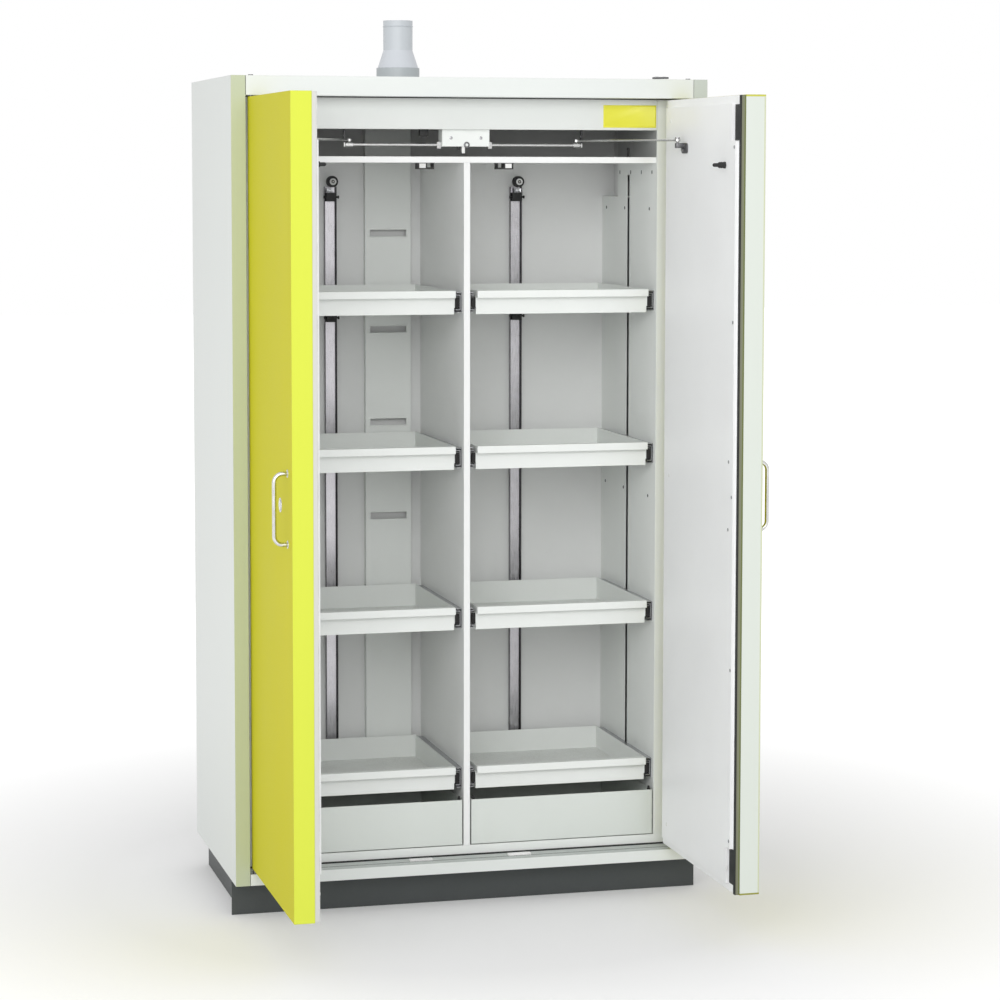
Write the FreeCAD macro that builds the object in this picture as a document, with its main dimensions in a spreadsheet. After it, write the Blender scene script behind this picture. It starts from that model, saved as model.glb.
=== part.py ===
import FreeCAD, Part
import math
import os
import Sketcher

# A free-standing two-wing fire safety cabinet with eight pull-out trays and two sump drawers.
# X points right, Y points back and Z points up. The origin lies on the floor, under the middle of
# the body's footprint. The doors stand open at a right angle and the trays are in.

DRIVING = [
    ("body_w", 1198, "body width"),
    ("body_d", 616, "body depth"),
    ("body_h", 1970, "body height above the plinth"),
    ("plinth_h", 86, "plinth height"),
    ("sheet", 1.2, "steel sheet of the shell, doors and trays"),
    ("strip_side", 35, "width of the side panels' front strip"),
    ("strip_top", 47, "height of the top panel's front strip"),
    ("strip_foot", 28, "height of the bottom panel's front strip"),
    ("seam", 1.2, "gap between the side panels and the top and bottom panels"),
    ("jamb_d", 84, "depth of the jamb behind the front strips"),
    ("ring_front", 72, "depth at which the frame ring starts"),
    ("ring_w", 19, "face width of the frame ring"),
    ("ring_foot", 24, "face height of the frame ring's lower bar"),
    ("rib_front", 20, "depth at which the sill's rib starts"),
    ("rib_w", 4, "width of the sill's rib"),
    ("liner_t", 20, "thickness of the side liner boards"),
    ("rear_face", 545, "depth of the inner face of the rear liner"),
    ("cheek_t", 33, "thickness of the side cheeks"),
    ("inner_front", 72, "depth at which the cheeks, partition and sump drawers start"),
    ("cheek_slot", 303, "depth at which the cheeks' air slot starts"),
    ("cheek_slot_w", 20, "width of the cheeks' air slot"),
    ("cheek_slot_top", 1819, "top of the cheeks' air slot"),
    ("cheek_step", 406, "depth at which the cheeks' stepped corner starts"),
    ("cheek_step_z", 1763, "height of the cheeks' stepped corner"),
    ("partition_t", 16, "partition thickness"),
    ("shelf_z", 1849, "underside of the mechanism shelf"),
    ("shelf_front", 84, "depth at which the mechanism shelf starts"),
    ("shelf_t", 15, "mechanism shelf thickness"),
    ("fascia_z", 1931, "lower edge of the fascia"),
    ("fascia_front", 70.5, "depth of the fascia's face"),
    ("fascia_rear", 116, "depth of the rear edge of the fascia's lower fold"),
    ("frame_seal_w", 2.5, "width of the seals on the frame ring"),
    ("frame_seal_t", 8, "thickness of the seals on the frame ring"),
    ("door_gap", 4, "gap above the door leaves, and between them when they are closed"),
    ("hinge_gap", 7, "gap beside each door leaf, at the hinges"),
    ("sill_gap", 13.5, "gap under each door leaf"),
    ("hinge_in", 7, "hinge axis, in from the leaf's outer corner"),
    ("pin_r", 4, "hinge pin radius"),
    ("running", 0.05, "radial clearance of a pin in its hole"),
    ("leaf_t", 48, "door leaf thickness"),
    ("layer_t", 10, "thickness of the door's first step"),
    ("layer_in", 1, "inset of the door's first step"),
    ("plug_t", 9, "thickness of the door's plug"),
    ("plug_in", 20, "inset of the door's plug"),
    ("notch_w", 24, "width of the notches in the plug's free corners"),
    ("notch_h", 87, "height of the notches in the plug's free corners"),
    ("seal_t", 2, "seal thickness"),
    ("seal_w", 12, "seal width"),
    ("handle_z", 1068, "height of the handles' middle"),
    ("handle_h", 161, "distance between the handles' legs"),
    ("handle_r", 5, "radius of the handles' bar"),
    ("handle_out", 31, "handle bar's centre, out from the leaf"),
    ("handle_bend", 20, "bend radius of the handles"),
    ("handle_in", 55, "handle, in from the free edge"),
    ("lock_r", 12, "lock barrel radius"),
    ("lock_in", 145, "lock barrel, in from the free edge"),
    ("lock_z", 1067.5, "lock barrel height"),
    ("striker_z", 1843, "height of the strikers and the catches' holes"),
    ("striker_back", 465, "striker, forward of the leaf's hinge edge, doors open"),
    ("striker_l", 31, "striker length"),
    ("striker_r", 4.5, "striker tip radius"),
    ("link_z", 1904, "height of the link rods"),
    ("link_pin_x", 472, "link pin on the door, from the middle plane, doors open"),
    ("link_pin_y", 157, "link pin on the door, forward of the hinge axis, doors open"),
    ("guide_z", 1893, "height of the guide rods"),
    ("guide_y", 105, "depth of the guide rods"),
    ("guide_r", 4, "radius of the guide rods"),
    ("guide_end", 303, "outer end of the guide rods"),
    ("shoe_x", 290, "slider shoe, from the middle plane, doors open"),
    ("box_half", 60, "half the width of the mechanism box"),
    ("box_front", 84, "depth at which the mechanism box starts"),
    ("box_rear", 124, "depth at which the mechanism box ends"),
    ("box_low", 1889, "underside of the mechanism box"),
    ("tray_space", 20, "room for a slide beside each tray"),
    ("tray_h", 59, "tray height"),
    ("tray_front", 92, "depth of the tray's front wall"),
    ("tray_rear", 515, "depth of the tray's rear wall"),
    ("lip_out", 18, "forward reach of the tray's lip"),
    ("lip_h", 18, "height of the tray's lip"),
    ("tray_top_one", 1533, "top of the first tray"),
    ("tray_top_two", 1145.5, "top of the second tray"),
    ("tray_top_three", 741.5, "top of the third tray"),
    ("tray_top_four", 337, "top of the fourth tray"),
    ("slide_sheet", 1.5, "sheet of the slides"),
    ("slide_front", 90, "depth at which the slides start"),
    ("sump_low", 140.5, "underside of the sump drawers"),
    ("sump_top", 254, "top of the sump drawers"),
    ("runner_in", 60, "inner floor runner of each sump drawer, from the middle plane"),
    ("runner_out", 420, "outer floor runner of each sump drawer, from the middle plane"),
    ("runner_w", 20, "width of the floor runners"),
    ("duct_x", -99, "middle of the rear duct"),
    ("duct_w", 122, "width of the rear duct"),
    ("duct_t", 20, "thickness of the rear duct"),
    ("duct_low", 190, "lower end of the rear duct"),
    ("duct_slot_h", 17, "height of the slots in the rear duct"),
    ("rail_x", 250, "middle of the rear rails"),
    ("rail_w", 32, "width of the rear rails"),
    ("rail_t", 12, "thickness of the rear rails"),
    ("rail_low", 195, "lower end of the rear rails"),
    ("rail_top", 1788, "upper end of the rear rails"),
    ("carrier_top", 1761, "height of the uppermost carrier in each rear rail"),
    ("carrier_drop", 27, "other carriers, below the tray's underside"),
    ("carrier_h", 22, "carrier height"),
    ("pulley_z", 1801, "height of the pulleys"),
    ("pulley_r", 15, "pulley radius"),
    ("pulley_w", 12, "pulley width"),
    ("pulley_front", 507, "depth at which the pulleys start"),
    ("axle_r", 3, "radius of the pulley axles and link pins"),
    ("vent_x", -100, "exhaust spigot, sideways"),
    ("vent_y", 400, "exhaust spigot, depth"),
    ("vent_r", 45, "hole through the roof"),
    ("collar_r", 55, "exhaust collar radius"),
    ("collar_h", 35, "exhaust collar height"),
    ("cone_r", 52, "exhaust cone radius at the collar"),
    ("cone_h", 44, "exhaust cone height"),
    ("pipe_r", 37.5, "exhaust pipe radius"),
    ("pipe_h", 76, "exhaust pipe length"),
    ("pipe_wall", 2.5, "exhaust spigot wall"),
    ("plinth_front", 65, "depth of the plinth's front plate"),
    ("plinth_side", 27, "inset of the plinth's sides"),
    ("plinth_rear", 20, "inset of the plinth's back"),
    ("plinth_t", 3, "plate of the plinth"),
    ("foot_x", 520, "levelling feet, from the middle plane"),
    ("foot_front", 110, "depth of the front levelling feet"),
    ("foot_rear", 550, "depth of the rear levelling feet"),
]

doc = FreeCAD.newDocument("safety_cabinet")
cells = doc.addObject("Spreadsheet::Sheet", "Size")
for row, (alias, value, note) in enumerate(DRIVING, 1):
    cells.set("A%d" % row, note)
    cells.set("B%d" % row, str(value))
    cells.setAlias("B%d" % row, alias)
doc.recompute()


class Length:
    """A length that knows its value and the sheet expression that it comes from."""

    def __init__(self, value, text):
        self.value = value
        self.text = text

    def __add__(self, other):
        return combine(self, "+", other)

    def __radd__(self, other):
        return combine(other, "+", self)

    def __sub__(self, other):
        return combine(self, "-", other)

    def __rsub__(self, other):
        return combine(other, "-", self)

    def __mul__(self, other):
        return combine(self, "*", other)

    def __rmul__(self, other):
        return combine(other, "*", self)

    def __truediv__(self, other):
        return combine(self, "/", other)

    def __neg__(self):
        return combine(0, "-", self)


def length(number):
    """The Length of a Length or of a plain number."""
    if isinstance(number, Length):
        return number
    return Length(float(number), "(%r)" % float(number))


def combine(first, sign, second):
    a, b = length(first), length(second)
    value = {"+": a.value + b.value, "-": a.value - b.value, "*": a.value * b.value}.get(sign)
    if value is None:
        value = a.value / b.value
    return Length(value, "(%s %s %s)" % (a.text, sign, b.text))


class Sizes:
    """Each driving dimension by its alias."""

    def __getattr__(self, alias):
        return Length(float(cells.get(alias)), "Size." + alias)


d = Sizes()
nodes = []


def node(label, shape_object):
    """Names a finished sub-part: the label is also its file's name."""
    shape_object.Label = label
    nodes.append(shape_object)
    return shape_object


def bind(target, prop, expression):
    target.setExpression(prop, length(expression).text)


def place(target, x, y, z):
    for axis, value in zip("xyz", (x, y, z)):
        bind(target, "Placement.Base." + axis, value)


def mirror(side, low, high):
    """A range on the right (side 1), or its mirror image on the left (side -1)."""
    return (low, high) if side > 0 else (-length(high), -length(low))


def block(name, x, y, z):
    """A box between the low and high ends of three ranges."""
    box = doc.addObject("Part::Box", name)
    for prop, (low, high) in zip(("Length", "Width", "Height"), (x, y, z)):
        bind(box, prop, length(high) - low)
    place(box, x[0], y[0], z[0])
    return box


def rod(name, radius, start, reach, axis):
    """A cylinder that runs from start by reach along X, Y or Z."""
    turns = {"x": (0, 1, 0, 90), "y": (1, 0, 0, -90), "z": (0, 0, 1, 0)}
    cylinder = doc.addObject("Part::Cylinder", name)
    bind(cylinder, "Radius", radius)
    bind(cylinder, "Height", reach)
    turn = turns[axis]
    cylinder.Placement = FreeCAD.Placement(
        FreeCAD.Vector(0, 0, 0), FreeCAD.Rotation(FreeCAD.Vector(*turn[:3]), turn[3])
    )
    place(cylinder, *start)
    return cylinder


def cut(name, base, *tools):
    for number, tool in enumerate(tools, 1):
        step = doc.addObject("Part::Cut", "%s_cut_%d" % (name, number))
        step.Base = base
        step.Tool = tool
        base = step
    return base


def fuse(name, *shapes):
    joined = doc.addObject("Part::MultiFuse", name + "_fused")
    joined.Shapes = list(shapes)
    return joined


def group(name, *shapes):
    """Separate solids that share one node."""
    gathered = doc.addObject("Part::Compound", name + "_group")
    gathered.Links = list(shapes)
    return gathered


def pan(name, x, y, z, open_sides, wall):
    """A box of folded sheet with the named sides left open, such as x- or z+."""
    inner = []
    for axis, (low, high) in zip("xyz", (x, y, z)):
        start = length(low) - 1 if axis + "-" in open_sides else length(low) + wall
        end = length(high) + 1 if axis + "+" in open_sides else length(high) - wall
        inner.append((start, end))
    outer = block(name + "_outer", x, y, z)
    return cut(name, outer, block(name + "_inner", *inner))


def outward(side):
    """The open side's name for the way that points away from the middle plane."""
    return "x+" if side > 0 else "x-"


def inward(side):
    return "x-" if side > 0 else "x+"


def lathe(name, outline):
    """A turned body about its own Z axis, from (radius, height) points."""
    body = doc.addObject("PartDesign::Body", name)
    plane = next(p for p in body.Origin.OriginFeatures if p.Role == "XZ_Plane")
    profile = body.newObject("Sketcher::SketchObject", name + "_profile")
    profile.AttachmentSupport = [(plane, "")]
    profile.MapMode = "FlatFace"
    outline = [(length(r), length(h)) for r, h in outline]
    count = len(outline)
    for index in range(count):
        here, following = outline[index], outline[(index + 1) % count]
        profile.addGeometry(
            Part.LineSegment(
                FreeCAD.Vector(here[0].value, here[1].value, 0),
                FreeCAD.Vector(following[0].value, following[1].value, 0),
            )
        )
    for index in range(count):
        profile.addConstraint(Sketcher.Constraint("Coincident", index, 2, (index + 1) % count, 1))
    for index, point in enumerate(outline):
        for kind, value in zip(("DistanceX", "DistanceY"), point):
            number = profile.addConstraint(Sketcher.Constraint(kind, -1, 1, index, 1, value.value))
            profile.setExpression("Constraints[%d]" % number, value.text)
    turned = body.newObject("PartDesign::Revolution", name + "_turned")
    turned.Profile = profile
    turned.ReferenceAxis = (profile, ["V_Axis"])
    turned.Angle = 360
    return body


def depth(distance):
    """A place that lies this far behind the body's front face."""
    return distance - d.body_d / 2


# Levels and planes that many sub-parts share
half_w = d.body_w / 2
body_low = d.plinth_h
body_top = d.plinth_h + d.body_h
frame_half = half_w - d.strip_side
frame_low = body_low + d.strip_foot
frame_top = body_top - d.strip_top
board_half = frame_half - d.ring_w
floor_z = frame_low + d.ring_foot
ceiling_z = frame_top - d.ring_w
inner_half = board_half - d.liner_t
clear_half = inner_half - d.cheek_t
rear_board = d.rear_face + d.ring_w
pan_half = frame_half - d.seam
hinge_x = frame_half - d.hinge_gap - d.hinge_in
hinge_y = depth(d.hinge_in)
SIDES = (("left", -1), ("right", 1))

# Outer shell: two side panels with front strip, jamb, top and bottom folds
for word, side in SIDES:
    skin = pan(
        "side_panel_" + word,
        mirror(side, frame_half, half_w),
        (depth(0), depth(d.body_d)),
        (body_low, body_top),
        [inward(side)],
        d.sheet,
    )
    jamb = block(
        "side_jamb_" + word,
        mirror(side, frame_half, frame_half + d.sheet),
        (depth(0), depth(d.jamb_d)),
        (body_low, body_top),
    )
    node("side_panel_" + word, fuse("side_panel_" + word, skin, jamb))

# Top panel: roof, front strip, jamb and rear fold, with holes for the exhaust and the hinge pins
roof = pan(
    "roof", (-pan_half, pan_half), (depth(0), depth(d.body_d)), (frame_top, body_top),
    ["z-", "x-", "x+"], d.sheet,
)
roof_jamb = block(
    "roof_jamb", (-pan_half, pan_half), (depth(0), depth(d.jamb_d)), (frame_top, frame_top + d.sheet)
)
roof_holes = [
    rod("roof_pin_hole_" + word, d.pin_r, (side * hinge_x, hinge_y, frame_top - 1), d.strip_top + 2, "z")
    for word, side in SIDES
]
roof_vent = rod("roof_vent", d.vent_r, (d.vent_x, depth(d.vent_y), frame_top), d.strip_top + 1, "z")
node("top_panel", cut("top_panel", fuse("roof_sheet", roof, roof_jamb), roof_vent, *roof_holes))

# Bottom panel: pan with the front strip, and the sill with its rib in front of the frame ring
tub = pan(
    "bottom", (-pan_half, pan_half), (depth(0), depth(d.body_d)), (body_low, frame_low),
    ["z+", "x-", "x+"], d.sheet,
)
sill = block(
    "sill", (-pan_half, pan_half), (depth(0), depth(d.jamb_d)), (frame_low - d.sheet, frame_low)
)
rib = block(
    "sill_rib", (-pan_half, pan_half), (depth(d.rib_front), depth(d.rib_front + d.rib_w)),
    (frame_low - d.sheet, frame_low + d.sheet),
)
sill_holes = [
    rod("sill_pin_hole_" + word, d.pin_r, (side * hinge_x, hinge_y, frame_low - 4), 6, "z")
    for word, side in SIDES
]
node("bottom_panel", cut("bottom_panel", fuse("bottom_sheet", tub, sill, rib), *sill_holes))

# Back panel between the folds of the other panels
back = block(
    "back", (-frame_half, frame_half), (depth(d.body_d - d.sheet), depth(d.body_d)), (frame_low, frame_top)
)
node("back_panel", back)

# Fire insulation boards: both sides, back, top and bottom
board_rear = depth(d.body_d - d.sheet)
boards = [
    block(
        "board_" + word,
        mirror(side, board_half, half_w - d.sheet),
        (depth(d.jamb_d), board_rear),
        (body_low + d.sheet, body_top - d.sheet),
    )
    for word, side in SIDES
]
boards.append(
    block("board_back", (-board_half, board_half), (depth(rear_board), board_rear), (frame_low, frame_top))
)
boards.append(
    block(
        "board_bottom", (-board_half, board_half), (depth(d.jamb_d), board_rear),
        (body_low + d.sheet, frame_low),
    )
)
top_board = block(
    "board_top", (-board_half, board_half), (depth(d.jamb_d), board_rear), (frame_top, body_top - d.sheet)
)
top_board_vent = rod(
    "board_vent", d.vent_r, (d.vent_x, depth(d.vent_y), frame_top - 1), d.strip_top + 1, "z"
)
boards.append(cut("board_top", top_board, top_board_vent))
node("insulation_boards", group("insulation_boards", *boards))

# Inner liner boards: sides, back, floor and ceiling
liner = [
    block(
        "liner_" + word,
        mirror(side, inner_half, board_half),
        (depth(d.jamb_d), depth(d.rear_face)),
        (floor_z, ceiling_z),
    )
    for word, side in SIDES
]
liner.append(
    block(
        "liner_back", (-board_half, board_half), (depth(d.rear_face), depth(rear_board)),
        (floor_z, ceiling_z),
    )
)
liner.append(
    block(
        "liner_floor", (-board_half, board_half), (depth(d.jamb_d), depth(rear_board)),
        (frame_low, floor_z),
    )
)
ceiling = block(
    "liner_ceiling", (-board_half, board_half), (depth(d.jamb_d), depth(rear_board)), (ceiling_z, frame_top)
)
ceiling_vent = rod(
    "ceiling_vent", d.vent_r, (d.vent_x, depth(d.vent_y), ceiling_z - 1), d.ring_w + 2, "z"
)
liner.append(cut("liner_ceiling", ceiling, ceiling_vent))
node("inner_liner", group("inner_liner", *liner))

# Frame ring that the doors close against: four channels, open at the back
ring_y = (depth(d.ring_front), depth(d.jamb_d))
ring = [
    pan(
        "ring_" + word, mirror(side, inner_half, frame_half), ring_y, (frame_low, frame_top),
        ["y+"], d.sheet,
    )
    for word, side in SIDES
]
for word, levels in (("foot", (frame_low, floor_z)), ("head", (ceiling_z, frame_top))):
    ring.append(pan("ring_" + word, (-inner_half, inner_half), ring_y, levels, ["y+"], d.sheet))
node("frame_ring", group("frame_ring", *ring))

# Seals on the frame ring, at its outer edge
ring_seal_y = (depth(d.ring_front - d.frame_seal_t), depth(d.ring_front))
seal_half = frame_half - d.frame_seal_w
ring_seals = [
    block("ring_seal_" + word, mirror(side, seal_half, frame_half), ring_seal_y, (frame_low, frame_top))
    for word, side in SIDES
]
for word, low in (("foot", frame_low), ("head", frame_top - d.frame_seal_w)):
    ring_seals.append(
        block("ring_seal_" + word, (-seal_half, seal_half), ring_seal_y, (low, low + d.frame_seal_w))
    )
node("frame_seals", group("frame_seals", *ring_seals))

# Side cheeks: hollow wall covers with an air slot and a stepped upper rear corner
cheeks = []
for word, side in SIDES:
    across = mirror(side, clear_half, inner_half)
    lower = pan(
        "cheek_low_" + word, across, (depth(d.inner_front), depth(d.rear_face)), (floor_z, d.cheek_step_z),
        [outward(side)], d.sheet,
    )
    upper = pan(
        "cheek_up_" + word, across, (depth(d.inner_front), depth(d.cheek_step)), (d.cheek_step_z, ceiling_z),
        [outward(side)], d.sheet,
    )
    slot = block(
        "cheek_slot_" + word,
        mirror(side, clear_half - 1, clear_half + 3),
        (depth(d.cheek_slot), depth(d.cheek_slot + d.cheek_slot_w)),
        (floor_z + 20, d.cheek_slot_top),
    )
    cheeks.append(cut("cheek_" + word, fuse("cheek_" + word, lower, upper), slot))
node("air_cheeks", group("air_cheeks", *cheeks))

# Centre partition, shelf under the mechanism and fascia in front of it
partition = block(
    "partition",
    (-d.partition_t / 2, d.partition_t / 2),
    (depth(d.inner_front), depth(d.rear_face)),
    (floor_z, d.shelf_z),
)
node("partition", partition)

duct_x = (d.duct_x - d.duct_w / 2, d.duct_x + d.duct_w / 2)
duct_y = (depth(d.rear_face - d.duct_t), depth(d.rear_face))
shelf = block(
    "shelf", (-clear_half, clear_half), (depth(d.shelf_front), depth(d.rear_face)),
    (d.shelf_z, d.shelf_z + d.shelf_t),
)
shelf_gap = block(
    "shelf_gap", (duct_x[0] - 1, duct_x[1] + 1), (duct_y[0] - 1, duct_y[1] + 1),
    (d.shelf_z - 1, d.shelf_z + d.shelf_t + 1),
)
node("mechanism_shelf", cut("mechanism_shelf", shelf, shelf_gap))

fascia_pan = pan(
    "fascia", (-clear_half, clear_half), (depth(d.fascia_front), depth(d.fascia_rear)),
    (d.fascia_z, ceiling_z),
    ["y+", "z+"], d.sheet,
)
fascia_face = block(
    "fascia_face", (-clear_half, clear_half), (depth(d.fascia_front), depth(d.fascia_front + d.sheet)),
    (ceiling_z, frame_top - d.frame_seal_w),
)
node("fascia", fuse("fascia", fascia_pan, fascia_face))

# Mechanism box between the guide rods, with the round release button in its face
cover = pan(
    "closer_cover", (-d.box_half, d.box_half), (depth(d.box_front), depth(d.box_rear)),
    (d.box_low, d.fascia_z), ["y+"], d.sheet,
)
button = rod("closer_button", 3.5, (2, depth(d.box_front - 3), d.box_low + 4), 4, "y")
node("closer_box", fuse("closer_box", cover, button))

# Guide rods of the link shoes, each with its inner block and outer hanger
guides = []
for word, side in SIDES:
    bar_low, bar_high = mirror(side, d.box_half, d.guide_end)
    bar = rod(
        "guide_bar_" + word, d.guide_r, (bar_low, depth(d.guide_y), d.guide_z), bar_high - bar_low, "x"
    )
    foot = block(
        "guide_block_" + word,
        mirror(side, d.box_half, d.box_half + 10),
        (depth(d.guide_y - 8), depth(d.guide_y + 8)),
        (d.guide_z - 9, d.guide_z + 7),
    )
    hanger = block(
        "guide_hanger_" + word,
        mirror(side, d.guide_end - 2, d.guide_end + 1),
        (depth(d.guide_y - 6), depth(d.guide_y + 6)),
        (d.guide_z - 6, d.fascia_z),
    )
    guides.append(fuse("guide_" + word, bar, foot, hanger))
node("link_guides", group("link_guides", *guides))

# Rear air duct in the left column: a shallow channel with four slots
SLOT_LEVELS = (1667, 1415.5, 1172, 924)
slot_x = (duct_x[0] + 13, duct_x[1] - 13)
slot_y = (duct_y[0] - 1, duct_y[0] + 3)
duct = pan("duct", duct_x, duct_y, (d.duct_low, ceiling_z), ["y+"], d.sheet)
duct_slots = [
    block(
        "duct_slot_%d" % number, slot_x, slot_y, (level - d.duct_slot_h / 2, level + d.duct_slot_h / 2)
    )
    for number, level in enumerate(SLOT_LEVELS, 1)
]
node("exhaust_duct", cut("exhaust_duct", duct, *duct_slots))

# Rear rails of the tray retraction, open to the front, and the bolts that the pulleys turn on
rails = []
for word, side in SIDES:
    rails.append(
        pan(
            "rear_rail_" + word,
            mirror(side, d.rail_x - d.rail_w / 2, d.rail_x + d.rail_w / 2),
            (depth(d.rear_face - d.rail_t), depth(d.rear_face)),
            (d.rail_low, d.rail_top),
            ["y-", "z-", "z+"],
            d.slide_sheet,
        )
    )
    head_y = d.pulley_front - 5
    axle = rod(
        "axle_" + word, d.axle_r, (side * d.rail_x, depth(head_y), d.pulley_z), d.rear_face - head_y, "y"
    )
    head = rod("axle_head_" + word, 6, (side * d.rail_x, depth(head_y - 3), d.pulley_z), 3, "y")
    rails.append(fuse("axle_bolt_" + word, axle, head))
node("retraction_rails", group("retraction_rails", *rails))

# Pulleys: grooved wheels that turn on the bolts
for word, side in SIDES:
    wheel = lathe(
        "pulley_" + word,
        [
            (d.axle_r + d.running, 0),
            (d.pulley_r, 0),
            (d.pulley_r, 3),
            (d.pulley_r - 4, 5),
            (d.pulley_r - 4, d.pulley_w - 5),
            (d.pulley_r, d.pulley_w - 3),
            (d.pulley_r, d.pulley_w),
            (d.axle_r + d.running, d.pulley_w),
        ],
    )
    wheel.Placement.Rotation = FreeCAD.Rotation(FreeCAD.Vector(1, 0, 0), -90)
    place(wheel, side * d.rail_x, depth(d.pulley_front), d.pulley_z)
    node("pulley_" + word, wheel)

# Carriers in the rear rails: one at the top of each rail and one below each tray's rear edge
TRAY_TOPS = (d.tray_top_one, d.tray_top_two, d.tray_top_three, d.tray_top_four)
carrier_levels = [d.carrier_top] + [top - d.tray_h - d.carrier_drop for top in TRAY_TOPS]
carriers = [
    block(
        "carrier_%s_%d" % (word, number),
        mirror(side, d.rail_x - 13, d.rail_x + 13),
        (depth(520), depth(d.rear_face - d.slide_sheet)),
        (level - d.carrier_h / 2, level + d.carrier_h / 2),
    )
    for word, side in SIDES
    for number, level in enumerate(carrier_levels)
]
node("rail_carriers", group("rail_carriers", *carriers))

# Slides beside the trays: three nested channels. A channel's web is web_at away from the wall that
# the fixed member is screwed to, and its flanges reach from there towards flange_at.
tray_low_x = d.partition_t / 2 + d.tray_space
tray_high_x = clear_half - d.tray_space
slide_y = (depth(d.slide_front), depth(d.tray_rear))


def channel(name, wall_x, way, web_at, flange_at, half_h, level):
    """A slide member whose web is nearer the wall than its flanges' ends, or the other way round."""
    near, far = sorted((web_at, flange_at))
    ends = (wall_x + near, wall_x + far) if way > 0 else (wall_x - far, wall_x - near)
    opens_away = (flange_at > web_at) == (way > 0)
    open_side = "x+" if opens_away else "x-"
    return pan(name, ends, slide_y, (level - half_h, level + half_h), [open_side, "y-", "y+"], d.slide_sheet)


def slide_pair(name, column, level, web_at, flange_at, half_h):
    """The same member at both sides of a column: at the partition and at the cheek."""
    pairs = []
    for place_word, distance, way in (("in", d.partition_t / 2, 1), ("out", clear_half, -1)):
        wall_x = column * distance
        pairs.append(
            channel("%s_%s" % (name, place_word), wall_x, column * way, web_at, flange_at, half_h, level)
        )
    return pairs


FIXED = dict(web_at=0, flange_at=14, half_h=25)
MIDDLE = dict(web_at=4, flange_at=16.5, half_h=19)
INNER = dict(web_at=20, flange_at=7.5, half_h=13.5)
runners = []
for word, side in SIDES:
    for number, top in enumerate(TRAY_TOPS, 1):
        level = top - d.tray_h / 2
        runners += slide_pair("fixed_%s_%d" % (word, number), side, level, **FIXED)
    for place_word, distance in (("in", d.runner_in), ("out", d.runner_out)):
        runners.append(
            block(
                "floor_runner_%s_%s" % (word, place_word),
                mirror(side, distance, distance + d.runner_w),
                (depth(d.slide_front), depth(d.tray_rear)),
                (floor_z, d.sump_low - 0.1),
            )
        )
node("runner_rails", group("runner_rails", *runners))

# Trays with their forward lip and the slide members that travel with them
for word, side in SIDES:
    for number, top in enumerate(TRAY_TOPS, 1):
        name = "tray_%s_%d" % (word, number)
        level = top - d.tray_h / 2
        across = mirror(side, tray_low_x, tray_high_x)
        tray_tub = pan(
            name + "_tub", across, (depth(d.tray_front), depth(d.tray_rear)), (top - d.tray_h, top),
            ["z+"], d.sheet,
        )
        lip = pan(
            name + "_lip", across, (depth(d.tray_front - d.lip_out), depth(d.tray_front)),
            (top - d.lip_h, top), ["z-", "y+"], d.sheet,
        )
        members = slide_pair(name + "_inner", side, level, **INNER)
        node(name, group(name, fuse(name, tray_tub, lip), *members))
        node(name + "_mid", group(name + "_mid", *slide_pair(name + "_mid", side, level, **MIDDLE)))

# Sump drawers below the lowest trays
for word, side in SIDES:
    sump = pan(
        "sump_" + word,
        mirror(side, d.partition_t / 2 + 4, clear_half - 4),
        (depth(d.inner_front), depth(d.tray_rear)),
        (d.sump_low, d.sump_top),
        ["z+"],
        d.slide_sheet,
    )
    node("sump_" + word, sump)

# Doors, standing open: the outer face points away from the middle plane and the free edge forward
leaf_x = hinge_x + d.hinge_in
leaf_in = leaf_x - d.leaf_t
layer_x = leaf_in - d.layer_t
plug_x = layer_x - d.plug_t
leaf_back = hinge_y + d.hinge_in
leaf_front = leaf_back - (leaf_x - d.door_gap / 2)
leaf_low = frame_low + d.sill_gap
leaf_top = frame_top - d.door_gap
FLANGE = 8


def inset(amount):
    """The leaf's Y and Z ranges, drawn in by amount on all four edges."""
    return (leaf_front + amount, leaf_back - amount), (leaf_low + amount, leaf_top - amount)


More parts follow.
